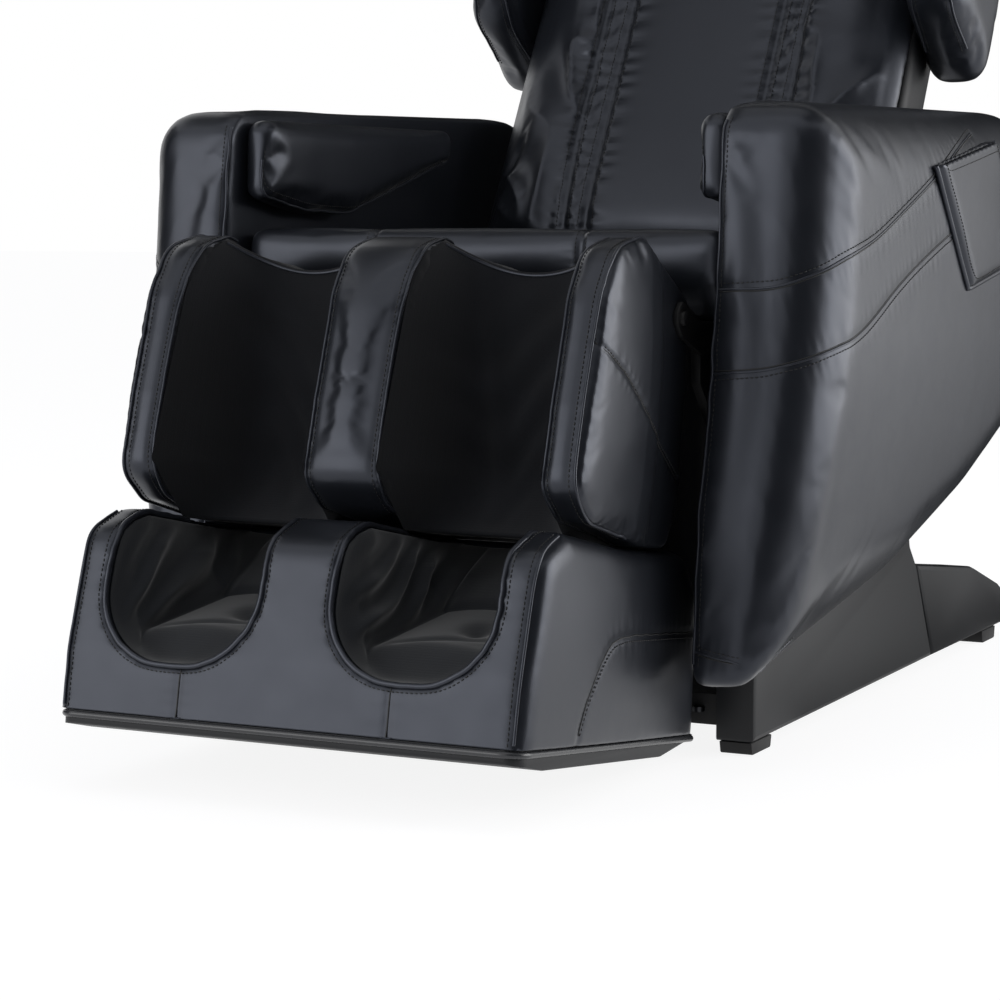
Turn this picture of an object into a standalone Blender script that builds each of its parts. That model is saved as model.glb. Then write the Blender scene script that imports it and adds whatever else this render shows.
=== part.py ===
"""Zero gravity massage chair with reclining back, tilting seat, lifting leg rest and extending foot rest.

The chair faces -Y and stands on the floor at Z = 0. Lengths are in metres, angles in degrees.
Side outlines are written as (y, z) with y = 0 at the front of the seat.
"""

import math

import bmesh
import bpy
from mathutils import Matrix, Vector

for old in list(bpy.data.objects):
    bpy.data.objects.remove(old, do_unlink=True)

# Clearances
GAP = 0.0003
RUN = 0.0001
SWING = 0.001

# Overall sizes
CHAIR_MIDDLE = 0.290
SEAT_WIDTH = 0.554
SEAT_TOP = 0.530
SEAT_DEPTH = 0.445
ARM_WIDTH = 0.119
ARM_TOP = 0.655
ARM_REAR = 0.815
BASE_SPREAD = 0.023
BASE_FRONT = 0.031
BASE_REAR = 0.955
BACK_LENGTH = 0.800
BACK_SPACE = 0.027
LEG_SPACE = 0.033

# Joint axes and ranges
TILT_Y = 0.400
TILT_Z = 0.270
TILT_RANGE = 22.0
RECLINE_Y = 0.550
RECLINE_Z = 0.400
RECLINE_RANGE = 40.0
BACK_LEAN = 30.0
LEG_Y = -0.050
LEG_Z = 0.442
LEG_RANGE = 72.0
LEG_LEAN = 7.5
FOOT_TRAVEL = 0.120

# Steel sections and pins
SHAFT = 0.010
PIN = 0.007
BAR = 0.008
PLATE = 0.010
PAN = 0.006
RAIL_HIGH = 0.040
RAIL_THICK = 0.020
FOOT_HIGH = 0.0127

ARM_INNER = SEAT_WIDTH / 2
ARM_OUTER = ARM_INNER + ARM_WIDTH
BASE_OUTER = ARM_INNER + BASE_SPREAD
BASE_INNER = BASE_OUTER - 0.041
RAIL_OUTER = BASE_OUTER - 0.018
RAIL_INNER = RAIL_OUTER - RAIL_THICK
RAIL_LOW = FOOT_HIGH + 0.0093
RAIL_TOP = RAIL_LOW + RAIL_HIGH
COVER_LOW = FOOT_HIGH + GAP
PLATE_OUTER = BASE_INNER - 0.0095
PLATE_INNER = PLATE_OUTER - PLATE
PAN_TOP = SEAT_TOP - 0.094
PAN_LOW = PAN_TOP - PAN
LEG_HALF = ARM_INNER - LEG_SPACE
LUG_INNER = LEG_HALF + 0.004
LUG_OUTER = LUG_INNER + 0.005
BACK_HALF = ARM_INNER - BACK_SPACE
HOLE_START = PLATE_INNER - 0.030
HOLE_END = BASE_OUTER + 0.030

SIDES = (("left", 1), ("right", -1))

parts = bpy.data.collections.new("zero_gravity_massage_chair")
helpers = bpy.data.collections.new("helpers")
bpy.context.scene.collection.children.link(parts)
bpy.context.scene.collection.children.link(helpers)

axes = {}
places = {}


def axis(name, parent, place):
    """Empty on a joint's axis, which the moving pieces hang from."""
    empty = bpy.data.objects.new(name, None)
    empty.empty_display_size = 0.05
    parts.objects.link(empty)
    places[name] = Vector(place)
    axes[name] = empty
    if parent is None:
        empty.location = Vector((0, -CHAIR_MIDDLE, 0)) + places[name]
    else:
        empty.parent = axes[parent]
        empty.location = places[name] - places[parent]


def back_point(x, along, out):
    """Point of the back, from the recline axis along the back and out towards the sitter."""
    lean = math.radians(BACK_LEAN)
    y = RECLINE_Y + along * math.sin(lean) - out * math.cos(lean)
    z = RECLINE_Z + along * math.cos(lean) + out * math.sin(lean)
    return Vector((x, y, z))


def leg_point(x, down, out):
    """Point of the leg rest, from its hinge down the leg and out towards the front."""
    lean = math.radians(LEG_LEAN)
    y = LEG_Y - down * math.sin(lean) - out * math.cos(lean)
    z = LEG_Z - down * math.cos(lean) + out * math.sin(lean)
    return Vector((x, y, z))


def world_point(x, y, z):
    return Vector((x, y, z))


def finish(obj, colour, roughness, metallic):
    material = bpy.data.materials.new(obj.name)
    material.use_nodes = True
    shader = material.node_tree.nodes["Principled BSDF"]
    shader.inputs["Base Color"].default_value = (*colour, 1.0)
    shader.inputs["Roughness"].default_value = roughness
    shader.inputs["Metallic"].default_value = metallic
    obj.data.materials.append(material)


LEATHER = ((0.045, 0.047, 0.055), 0.45, 0.0)
FABRIC = ((0.010, 0.010, 0.012), 0.90, 0.0)
PLASTIC = ((0.030, 0.031, 0.034), 0.40, 0.0)
RUBBER = ((0.012, 0.012, 0.012), 0.80, 0.0)
STEEL = ((0.075, 0.075, 0.080), 0.35, 1.0)
BRIGHT = ((0.550, 0.550, 0.560), 0.25, 1.0)
ROLLER = ((0.300, 0.280, 0.230), 0.40, 0.0)


def add(name, shape, joint, look=None):
    """Puts a shape in the scene with its origin on the joint's axis. With no look it is a hidden helper."""
    bmesh.ops.recalc_face_normals(shape, faces=shape.faces)
    if shape.calc_volume(signed=True) < 0:
        bmesh.ops.reverse_faces(shape, faces=shape.faces)
    data = bpy.data.meshes.new(name)
    shape.to_mesh(data)
    shape.free()
    data.transform(Matrix.Translation(-places[joint]))
    obj = bpy.data.objects.new(name, data)
    obj.parent = axes[joint]
    if look is None:
        helpers.objects.link(obj)
        obj.hide_render = True
        obj.display_type = "WIRE"
    else:
        parts.objects.link(obj)
        finish(obj, *look)
    return obj


def change(obj, other, operation):
    boolean = obj.modifiers.new(other.name, "BOOLEAN")
    boolean.operation = operation
    boolean.solver = "EXACT"
    boolean.object = other


def cut(obj, cutter):
    change(obj, cutter, "DIFFERENCE")


def join(obj, other):
    change(obj, other, "UNION")


def drawn_in(corners, by):
    """Corners (a, b, radius) moved in by a distance, whichever way round they run."""
    area = sum(
        corners[i - 1][0] * corners[i][1] - corners[i][0] * corners[i - 1][1]
        for i in range(len(corners))
    )
    turn = math.copysign(1, area)
    result = []
    for i, (a, b, radius) in enumerate(corners):
        here = Vector((a, b))
        first = (here - Vector(corners[i - 1][:2])).normalized()
        second = (Vector(corners[(i + 1) % len(corners)][:2]) - here).normalized()
        normal_1 = Vector((-first.y, first.x)) * turn
        normal_2 = Vector((-second.y, second.x)) * turn
        moved = here + by * (normal_1 + normal_2) / max(1 + normal_1.dot(normal_2), 0.4)
        bend = math.copysign(1, first.x * second.y - first.y * second.x) * turn
        if radius > 0:
            radius = max(radius - by * bend, 0.0005)
        result.append((moved.x, moved.y, radius))
    return result


def rounded(corners, steps=3):
    """Outline through corners (a, b, radius), each rounded off, as a function of how far it is drawn in."""

    def outline(by):
        points = []
        moved = drawn_in(corners, by)
        for i, (a, b, radius) in enumerate(moved):
            corner = Vector((a, b))
            before = Vector(moved[i - 1][:2]) - corner
            after = Vector(moved[(i + 1) % len(moved)][:2]) - corner
            if radius == 0:
                points.append((a, b))
                continue
            reach = radius / math.tan(before.angle(after) / 2)
            reach = min(reach, 0.45 * before.length, 0.45 * after.length)
            start = corner + reach * before.normalized()
            end = corner + reach * after.normalized()
            for k in range(steps + 1):
                t = k / steps
                point = (1 - t) ** 2 * start + 2 * t * (1 - t) * corner + t**2 * end
                points.append((point.x, point.y))
        return points

    return outline


def loft(outline, stations, place=world_point):
    """Solid across the chair through one side outline: stations are (x, how far drawn in)."""
    shape = bmesh.new()
    rings = []
    for x, by in stations:
        rings.append([shape.verts.new(place(x, a, b)) for a, b in outline(by)])
    for first, second in zip(rings, rings[1:]):
        for i in range(len(first)):
            shape.faces.new((first[i - 1], first[i], second[i], second[i - 1]))
    shape.faces.new(rings[0])
    shape.faces.new(rings[-1][::-1])
    return shape


def soft_edges(low, high, radius, steps=3):
    """Stations from one side to the other with both edges rounded."""
    stations = []
    for k in range(steps + 1):
        turn = math.radians(90 * k / steps)
        stations.append((low + radius * (1 - math.cos(turn)), radius * (1 - math.sin(turn))))
    for k in range(steps + 1):
        turn = math.radians(90 * (steps - k) / steps)
        stations.append((high - radius * (1 - math.cos(turn)), radius * (1 - math.sin(turn))))
    return stations


def prism(outline, low, high, place=world_point):
    return loft(outline, [(low, 0), (high, 0)], place)


def block(x, a, b, place=world_point):
    """Box from three (low, high) pairs."""
    corners = [(a[0], b[0], 0), (a[1], b[0], 0), (a[1], b[1], 0), (a[0], b[1], 0)]
    return prism(rounded(corners), x[0], x[1], place)


def rod(start, end, radius, sides=16):
    """Round bar between two points."""
    shape = bmesh.new()
    start = Vector(start)
    run = Vector(end) - start
    turned = run.to_track_quat("Z", "Y").to_matrix().to_4x4()
    matrix = Matrix.Translation(start + run / 2) @ turned
    bmesh.ops.create_cone(
        shape,
        cap_ends=True,
        segments=sides,
        radius1=radius,
        radius2=radius,
        depth=run.length,
        matrix=matrix,
    )
    return shape


def across(low, high, y, z, radius, sides=16):
    """Round bar along X."""
    return rod((low, y, z), (high, y, z), radius, sides)


def sheet(us, vs, front, back):
    """Solid between a front and a back surface over one grid."""
    shape = bmesh.new()
    faces = [[[shape.verts.new(side(u, v)) for v in vs] for u in us] for side in (front, back)]
    for grid in faces:
        for i in range(len(us) - 1):
            for j in range(len(vs) - 1):
                corners = (grid[i][j], grid[i + 1][j], grid[i + 1][j + 1], grid[i][j + 1])
                shape.faces.new(corners)
    ring = [(i, 0) for i in range(len(us))]
    ring += [(len(us) - 1, j) for j in range(1, len(vs))]
    ring += [(i, len(vs) - 1) for i in range(len(us) - 2, -1, -1)]
    ring += [(0, j) for j in range(len(vs) - 2, 0, -1)]
    for k, (i, j) in enumerate(ring):
        m, n = ring[k - 1]
        shape.faces.new((faces[0][m][n], faces[0][i][j], faces[1][i][j], faces[1][m][n]))
    return shape


def shares(*values):
    """Shares of a length, from 0 at its start to 1 at its end."""
    return list(values)


def both_ways(*values):
    """Shares of a half width, on both sides of the middle."""
    return [-value for value in values[:0:-1]] + list(values)


def mirrored(stations, side):
    return [(side * x, by) for x, by in stations]


axis("base", None, (0, 0, 0))
axis("seat", "base", (0, TILT_Y, TILT_Z))
axis("back", "seat", (0, RECLINE_Y, RECLINE_Z))
axis("leg", "seat", (0, LEG_Y, LEG_Z))
axis("foot", "leg", leg_point(0, 0.2265, 0))

# Base: steel rails in moulded covers, with a rear pod behind each cover
POST_HALF = 0.035
POST_TOP = TILT_Z + POST_HALF
POST_INNER = PLATE_OUTER + SWING
POST_OUTER = RAIL_OUTER - 0.002
RAIL_FRONT = BASE_FRONT + 0.012
RAIL_REAR = BASE_REAR - 0.055
COVER_TOP = POST_TOP + 0.020
SEAM_LOW = TILT_Y + 0.2276
SEAM_HIGH = TILT_Y + 0.1626
SEAM_TOP = 0.1335
SLACK = 0.0005

cover_outline = rounded(
    [
        (BASE_FRONT, COVER_LOW, 0.004),
        (SEAM_LOW, COVER_LOW + 0.0025, 0),
        (SEAM_HIGH, SEAM_TOP, 0),
        (SEAM_HIGH - 0.026, SEAM_TOP + 0.0265, 0.012),
        (TILT_Y + 0.105, COVER_TOP - 0.025, 0.030),
        (TILT_Y + 0.060, COVER_TOP, 0.030),
        (TILT_Y - 0.060, COVER_TOP, 0.040),
        (BASE_FRONT, 0.125, 0.020),
    ]
)
pod_outline = rounded(
    [
        (SEAM_LOW + 0.0008, COVER_LOW + 0.0025, 0),
        (BASE_REAR, COVER_LOW + 0.0025, 0.004),
        (BASE_REAR, 0.048, 0.014),
        (BASE_REAR - 0.048, 0.071, 0.030),
        (BASE_REAR - 0.162, 0.105, 0.100),
        (SEAM_HIGH + 0.0008, SEAM_TOP, 0),
    ]
)
SCOOP_Y = SEAM_HIGH + 0.105
scoop_outline = rounded(
    [
        (SCOOP_Y - 0.070, SEAM_TOP + 0.050, 0),
        (SCOOP_Y - 0.060, SEAM_TOP - 0.014, 0.020),
        (SCOOP_Y, SEAM_TOP - 0.046, 0.060),
        (SCOOP_Y + 0.060, SEAM_TOP - 0.028, 0.020),
        (SCOOP_Y + 0.070, SEAM_TOP + 0.050, 0),
    ]
)
for name, side in SIDES:
    rail = add(
        "base_rail_" + name,
        block((side * RAIL_INNER, side * RAIL_OUTER), (RAIL_FRONT, RAIL_REAR), (RAIL_LOW, RAIL_TOP)),
        "base",
        STEEL,
    )
    post = block(
        (side * POST_INNER, side * POST_OUTER),
        (TILT_Y - POST_HALF, TILT_Y + POST_HALF),
        (RAIL_LOW + 0.010, POST_TOP),
    )
    join(rail, add("post_" + name, post, "base"))
    hole = across(side * HOLE_START, side * HOLE_END, TILT_Y, TILT_Z, SHAFT + GAP, 24)
    cut(rail, add("post_hole_" + name, hole, "base"))

    stations = [(BASE_INNER, 0), (BASE_OUTER - 0.006, 0), (BASE_OUTER - 0.0018, 0.0018), (BASE_OUTER, 0.006)]
    cover = add("base_cover_" + name, loft(cover_outline, mirrored(stations, side)), "base", PLASTIC)
    pod = add("rear_pod_" + name, loft(pod_outline, mirrored(stations, side)), "base", PLASTIC)
    channel = block(
        (side * HOLE_START, side * (RAIL_OUTER + SLACK)),
        (RAIL_FRONT - SLACK, RAIL_REAR + SLACK),
        (RAIL_LOW - SLACK, RAIL_TOP + SLACK),
    )
    channel = add("rail_channel_" + name, channel, "base")
    cut(cover, channel)
    cut(pod, channel)
    well = block(
        (side * (HOLE_START + 0.010), side * (RAIL_OUTER + 2 * SLACK)),
        (TILT_Y - POST_HALF - SLACK, TILT_Y + POST_HALF + SLACK),
        (RAIL_TOP - 0.010, POST_TOP + SLACK),
    )
    cut(cover, add("post_channel_" + name, well, "base"))
    scoop = prism(scoop_outline, side * (BASE_INNER + 0.009), side * (BASE_OUTER - 0.009))
    cut(pod, add("scoop_" + name, scoop, "base"))

    pads = (("front", BASE_FRONT + 0.030, FOOT_HIGH), ("rear", BASE_REAR - 0.080, FOOT_HIGH + 0.0025))
    for end, middle, top in pads:
        pad = rounded(
            [
                (middle - 0.026, 0, 0.002),
                (middle + 0.026, 0, 0.002),
                (middle + 0.029, top, 0),
                (middle - 0.029, top, 0),
            ],
            1,
        )
        spans = mirrored([(BASE_INNER + 0.003, 0.0), (BASE_OUTER - 0.003, 0.0)], side)
        add(end + "_foot_" + name, loft(pad, spans), "base", RUBBER)

CROSS_HALF = RAIL_INNER - GAP
CROSS_LOW = RAIL_LOW + 0.004
CROSS_TOP = RAIL_TOP - 0.004
TILT_ARM = 0.240
TILT_HALF = math.radians(TILT_RANGE / 2)
TILT_BAR_Y = TILT_Y - TILT_ARM * math.cos(TILT_HALF)
TILT_BAR_Z = TILT_Z - TILT_ARM * math.sin(TILT_HALF)
add(
    "base_cross_front",
    block((-CROSS_HALF, CROSS_HALF), (BASE_FRONT + 0.014, TILT_BAR_Y + 0.036), (CROSS_LOW, CROSS_TOP)),
    "base",
    STEEL,
)
CROSS_REAR = BASE_REAR - 0.085
add(
    "base_cross_rear",
    block((-CROSS_HALF, CROSS_HALF), (CROSS_REAR - 0.040, CROSS_REAR), (CROSS_LOW, CROSS_TOP)),
    "base",
    STEEL,
)
control = add(
    "control_box",
    block((-0.110, 0.110), (CROSS_REAR - 0.170, CROSS_REAR + 0.040), (CROSS_TOP + GAP, CROSS_TOP + 0.062)),
    "base",
    PLASTIC,
)
inlet = block(
    (0.040, 0.068),
    (CROSS_REAR + 0.026, CROSS_REAR + 0.060),
    (CROSS_TOP + 0.020, CROSS_TOP + 0.040),
)
cut(control, add("mains_inlet", inlet, "base"))
add("tilt_shaft", across(-POST_OUTER, POST_OUTER, TILT_Y, TILT_Z, SHAFT, 24), "base", BRIGHT)

# Tilt actuator: stands on the front cross member and lifts a bar of the seat frame
TILT_ROD_Y = TILT_BAR_Y - TILT_ARM * (1 - math.cos(TILT_HALF)) / 2
TILT_SIDE = TILT_ARM * (1 - math.cos(TILT_HALF)) / 2 + BAR + SWING
TILT_STROKE = 2 * TILT_ARM * math.sin(TILT_HALF)
TUBE_TOP = TILT_BAR_Z - 0.024
tilt_body = add(
    "tilt_actuator_body",
    block((-0.034, 0.034), (TILT_ROD_Y - 0.030, TILT_ROD_Y + 0.030), (CROSS_TOP + GAP, CROSS_TOP + 0.045)),
    "base",
    PLASTIC,
)
tube = rod((0, TILT_ROD_Y, CROSS_TOP + 0.030), (0, TILT_ROD_Y, TUBE_TOP), 0.019)
join(tilt_body, add("tilt_tube", tube, "base"))
bore = rod((0, TILT_ROD_Y, CROSS_TOP + 0.006), (0, TILT_ROD_Y, TUBE_TOP + 0.020), SHAFT + GAP)
cut(tilt_body, add("tilt_bore", bore, "base"))
axis("tilt_rod", "base", (0, TILT_ROD_Y, TILT_BAR_Z))
tilt_rod = add(
    "tilt_actuator_rod",
    rod((0, TILT_ROD_Y, CROSS_TOP + 0.008), (0, TILT_ROD_Y, TILT_BAR_Z - 0.012), SHAFT),
    "tilt_rod",
    BRIGHT,
)
yoke = block(
    (-0.013, 0.013),
    (TILT_ROD_Y - TILT_SIDE - 0.007, TILT_ROD_Y + TILT_SIDE + 0.007),
    (TILT_BAR_Z - 0.018, TILT_BAR_Z + 0.018),
)
join(tilt_rod, add("tilt_yoke", yoke, "tilt_rod"))
slot = block(
    (-0.030, 0.030),
    (TILT_ROD_Y - TILT_SIDE, TILT_ROD_Y + TILT_SIDE),
    (TILT_BAR_Z - BAR - SWING, TILT_BAR_Z + BAR + SWING),
)
cut(tilt_rod, add("tilt_slot", slot, "tilt_rod"))

# Seat frame: two side plates, the pan between them, lugs for the leg rest and arms for the arm rests
plate_outline = rounded(
    [
        (0.005, PAN_TOP, 0),
        (RECLINE_Y - 0.060, PAN_TOP, 0),
        (RECLINE_Y, RECLINE_Z + 0.030, 0.020),
        (RECLINE_Y + 0.028, RECLINE_Z, 0.020),
        (RECLINE_Y + 0.005, RECLINE_Z - 0.030, 0.020),
        (TILT_Y + 0.035, TILT_Z - 0.022, 0.020),
        (TILT_Y - 0.035, TILT_Z - 0.026, 0.020),
        (TILT_BAR_Y - 0.005, TILT_BAR_Z - 0.020, 0.012),
        (TILT_BAR_Y - 0.022, TILT_BAR_Z, 0.012),
        (0.005, PAN_TOP - 0.060, 0.010),
    ]
)
lug_outline = rounded(
    [
        (0.060, PAN_TOP - 0.032, 0),
        (0.060, PAN_TOP - 0.0005, 0),
        (0.002, PAN_TOP - 0.0005, 0),
        (LEG_Y, LEG_Z + 0.018, 0.010),
        (LEG_Y - 0.018, LEG_Z, 0.012),
        (LEG_Y, LEG_Z - 0.018, 0.010),
        (0.002, PAN_TOP - 0.032, 0),
    ]
)
seat_frame = add(
    "seat_frame",
    block(
        (-PLATE_INNER - 0.004, PLATE_INNER + 0.004),
        (0.030, SEAT_DEPTH + 0.010),
        (PAN_LOW, PAN_TOP - 0.0004),
    ),
    "seat",
    STEEL,
)
tilt_bar = across(-PLATE_INNER - 0.003, PLATE_INNER + 0.003, TILT_BAR_Y, TILT_BAR_Z, BAR)
ARM_TUBES = (("front", 0.085), ("rear", TILT_Y + 0.035))
for name, side in SIDES:
    plate = prism(plate_outline, side * PLATE_INNER, side * PLATE_OUTER)
    join(seat_frame, add("seat_plate_" + name, plate, "seat"))
    bridge = block(
        (side * (PLATE_INNER + 0.002), side * LUG_OUTER),
        (0.012, 0.052),
        (PAN_TOP - 0.030, PAN_TOP - 0.002),
    )
    join(seat_frame, add("lug_bridge_" + name, bridge, "seat"))
    lug = prism(lug_outline, side * LUG_INNER, side * (LUG_OUTER + 0.0002))
    join(seat_frame, add("leg_lug_" + name, lug, "seat"))
    for end, middle in ARM_TUBES:
        arm_tube = block(
            (side * (PLATE_INNER + 0.002), side * (ARM_INNER - GAP)),
            (middle - 0.018, middle + 0.018),
            (PAN_TOP - 0.034, PAN_TOP - 0.004),
        )
        join(seat_frame, add("arm_tube_" + end + "_" + name, arm_tube, "seat"))
join(seat_frame, add("tilt_bar", tilt_bar, "seat"))
for name, side in SIDES:
    for label, y, z, radius in (
        ("tilt", TILT_Y, TILT_Z, SHAFT),
        ("recline", RECLINE_Y, RECLINE_Z, SHAFT),
        ("leg", LEG_Y, LEG_Z, PIN),
    ):
        hole = across(side * HOLE_START, side * HOLE_END, y, z, radius + RUN, 24)
        cut(seat_frame, add(label + "_hole_" + name, hole, "seat"))
    pin = across(side * (LEG_HALF - 0.020), side * (LUG_OUTER + 0.004), LEG_Y, LEG_Z, PIN, 24)
    add("leg_pin_" + name, pin, "seat", BRIGHT)
add("recline_shaft", across(-PLATE_OUTER, PLATE_OUTER, RECLINE_Y, RECLINE_Z, SHAFT, 24), "seat", BRIGHT)

# Seat upholstery
CUSHION_HALF = ARM_INNER - 0.014
BOLSTER_REAR = 0.0975
BOLSTER_HALF = ARM_INNER - 0.005
SEAM_X = 0.120


def cushion_top(u, v):
    """Crowned seat cushion with its sides drawn in."""
    crown = (1 - abs(u) ** 4) * (1 - abs(2 * v - 1) ** 6)
    y = BOLSTER_REAR + GAP + 0.002 + (SEAT_DEPTH - BOLSTER_REAR - 0.004) * v
    z = SEAT_TOP - 0.042 - 0.022 * v + 0.030 * crown ** 0.5
    return Vector((u * (CUSHION_HALF - 0.004), y, z))


def cushion_low(u, v):
    y = BOLSTER_REAR + GAP + (SEAT_DEPTH - BOLSTER_REAR) * v
    return Vector((u * CUSHION_HALF, y, PAN_TOP + GAP))


cushion_us = both_ways(0, 0.3, 0.6, 0.85, 0.97, 1)
cushion_vs = shares(0, 0.04, 0.15, 0.35, 0.5, 0.65, 0.85, 0.96, 1)
add("seat_cushion", sheet(cushion_us, cushion_vs, cushion_top, cushion_low), "seat", LEATHER)

bolster_outline = rounded(
    [
        (0.0, SEAT_TOP, 0.022),
        (0.0, SEAT_TOP - 0.052, 0.018),
        (0.034, PAN_TOP + 0.001, 0.004),
        (BOLSTER_REAR, PAN_TOP + 0.001, 0.002),
        (BOLSTER_REAR, SEAT_TOP - 0.012, 0.020),
    ],
    4,
)
bolster_stations = []
for x, by in (
    (BOLSTER_HALF, 0.010),
    (BOLSTER_HALF - 0.003, 0.003),
    (BOLSTER_HALF - 0.012, 0.0008),
    ((BOLSTER_HALF + SEAM_X) / 2, 0.0),
    (SEAM_X + 0.014, 0.0012),
    (SEAM_X + 0.004, 0.0030),
    (SEAM_X, 0.0060),
    (SEAM_X - 0.004, 0.0030),
    (SEAM_X - 0.014, 0.0012),
    (0.040, 0.0),
):
    bolster_stations.append((x, by))
bolster_stations += [(-x, by) for x, by in bolster_stations[::-1]]
add("seat_bolster", loft(bolster_outline, bolster_stations), "seat", LEATHER)

# Arm rests: padded side pods, open inside where the base post stands, and an inner pad
ARM_FRONT_TOP = -0.018
ARM_TAPER = 0.42
arm_outline = rounded(
    [
        (ARM_FRONT_TOP, ARM_TOP, 0.045),
        (-0.038, 0.460, 0.30),
        (-0.076, 0.250, 0.30),
        (-0.092, 0.078, 0.024),
        (0.060, 0.110, 0.20),
        (0.280, 0.150, 0.30),
        (0.500, 0.215, 0.30),
        (ARM_REAR - 0.100, 0.300, 0.20),
        (ARM_REAR, 0.410, 0.12),
        (ARM_REAR, ARM_TOP - 0.090, 0.12),
        (ARM_REAR - 0.130, ARM_TOP + 0.010, 0.15),
    ]
)
arm_stations = [(ARM_INNER, 0.008), (ARM_INNER + 0.0025, 0.0025), (ARM_INNER + 0.008, 0.0)]
for k in range(6):
    turn = math.radians(90 * k / 5)
    arm_stations.append((ARM_OUTER - 0.056 * (1 - math.sin(turn)), 0.070 * (1 - math.cos(turn))))


def taper(obj, side):
    """Draws the lower part of a pod in towards the chair."""
    shift = places["seat"].z
    for vertex in obj.data.vertices:
        below = max(0.0, ARM_TAPER - (vertex.co.z + shift)) / ARM_TAPER
        width = side * vertex.co.x - ARM_INNER
        vertex.co.x = side * (ARM_INNER + width * (1 - 0.55 * below**1.7))


RECESS_FRONT = BASE_FRONT - 0.009
RECESS_TOP = PAN_TOP - 0.050
pad_outline = rounded(
    [
        (0.004, ARM_TOP - 0.012, 0.020),
        (0.000, 0.560, 0.012),
        (0.090, 0.543, 0.080),
        (0.190, 0.540, 0.080),
        (0.300, 0.568, 0.080),
        (SEAT_DEPTH - 0.015, 0.602, 0.012),
        (SEAT_DEPTH - 0.005, ARM_TOP - 0.012, 0.020),
    ]
)
for name, side in SIDES:
    arm = add("arm_" + name, loft(arm_outline, mirrored(arm_stations, side)), "seat", LEATHER)
    taper(arm, side)
    recess = block(
        (side * (ARM_INNER - 0.030), side * (BASE_OUTER + 0.006)),
        (RECESS_FRONT, ARM_REAR + 0.050),
        (-0.050, RECESS_TOP),
    )
    cut(arm, add("arm_recess_" + name, recess, "seat"))
    pad = soft_edges(ARM_INNER - 0.034, ARM_INNER - GAP, 0.014)
    add("arm_pad_" + name, loft(pad_outline, mirrored(pad, side)), "seat", LEATHER)

# Handset pocket on the outside of the left arm
POCKET_DEPTH = 0.016
POCKET_WALL = 0.003
pocket_outline = rounded([(0.268, 0.593, 0), (0.390, 0.461, 0), (0.600, 0.491, 0), (0.478, 0.623, 0)])
pocket = add(
    "handset_pocket",
    prism(pocket_outline, ARM_OUTER + GAP, ARM_OUTER + POCKET_DEPTH),
    "seat",
    LEATHER,
)
top_front, low_front, low_rear, top_rear = (Vector(point) for point in pocket_outline(POCKET_WALL))
lift = 0.2 * (top_front - low_front)
space_outline = rounded(
    [
        (*(top_front + lift), 0),
        (*low_front, 0),
        (*low_rear, 0),
        (*(top_rear + lift), 0),
    ]
)
space = prism(space_outline, ARM_OUTER + GAP + POCKET_WALL, ARM_OUTER + POCKET_DEPTH - POCKET_WALL)
cut(pocket, add("pocket_space", space, "seat"))

# Leg actuator under the pan: its yoke pushes a pin of the calf tray
LEG_ARM = 0.060
LEG_HALF_TURN = math.radians(LEG_RANGE / 2)
LEG_PIN_Y = LEG_Y + LEG_ARM * math.sin(LEG_HALF_TURN)
LEG_PIN_Z = LEG_Z - LEG_ARM * math.cos(LEG_HALF_TURN)
LEG_ROD_Z = LEG_PIN_Z - LEG_ARM * (1 - math.cos(LEG_HALF_TURN)) / 2
LEG_SIDE = LEG_ARM * (1 - math.cos(LEG_HALF_TURN)) / 2 + 0.006 + SWING
LEG_STROKE = 2 * LEG_ARM * math.sin(LEG_HALF_TURN)
LEG_TUBE_REAR = LEG_STROKE + 0.130
leg_body = add(
    "leg_actuator_body",
    block(
        (-0.030, 0.030),
        (LEG_TUBE_REAR - 0.005, LEG_TUBE_REAR + 0.075),
        (LEG_ROD_Z - 0.032, PAN_LOW - GAP),
    ),
    "seat",
    PLASTIC,
)
tube = rod((0, 0.050, LEG_ROD_Z), (0, LEG_TUBE_REAR + 0.010, LEG_ROD_Z), 0.017)
join(leg_body, add("leg_tube", tube, "seat"))
bore = rod((0, 0.030, LEG_ROD_Z), (0, LEG_TUBE_REAR + 0.002, LEG_ROD_Z), BAR + GAP)
cut(leg_body, add("leg_bore", bore, "seat"))
axis("leg_rod", "seat", (0, LEG_PIN_Y, LEG_ROD_Z))
leg_rod = add(
    "leg_actuator_rod",
    rod((0, LEG_PIN_Y + 0.008, LEG_ROD_Z), (0, LEG_TUBE_REAR, LEG_ROD_Z), BAR),
    "leg_rod",
    BRIGHT,
)
yoke = block(
    (-0.011, 0.011),
    (LEG_PIN_Y - 0.013, LEG_PIN_Y + 0.013),
    (LEG_ROD_Z - LEG_SIDE - 0.005, LEG_ROD_Z + LEG_SIDE + 0.005),
)
join(leg_rod, add("leg_yoke", yoke, "leg_rod"))
slot = block(
    (-0.030, 0.030),
    (LEG_PIN_Y - 0.006 - 0.0018, LEG_PIN_Y + 0.006 + 0.0018),
    (LEG_ROD_Z - LEG_SIDE, LEG_ROD_Z + LEG_SIDE),
)
cut(leg_rod, add("leg_slot", slot, "leg_rod"))

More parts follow.
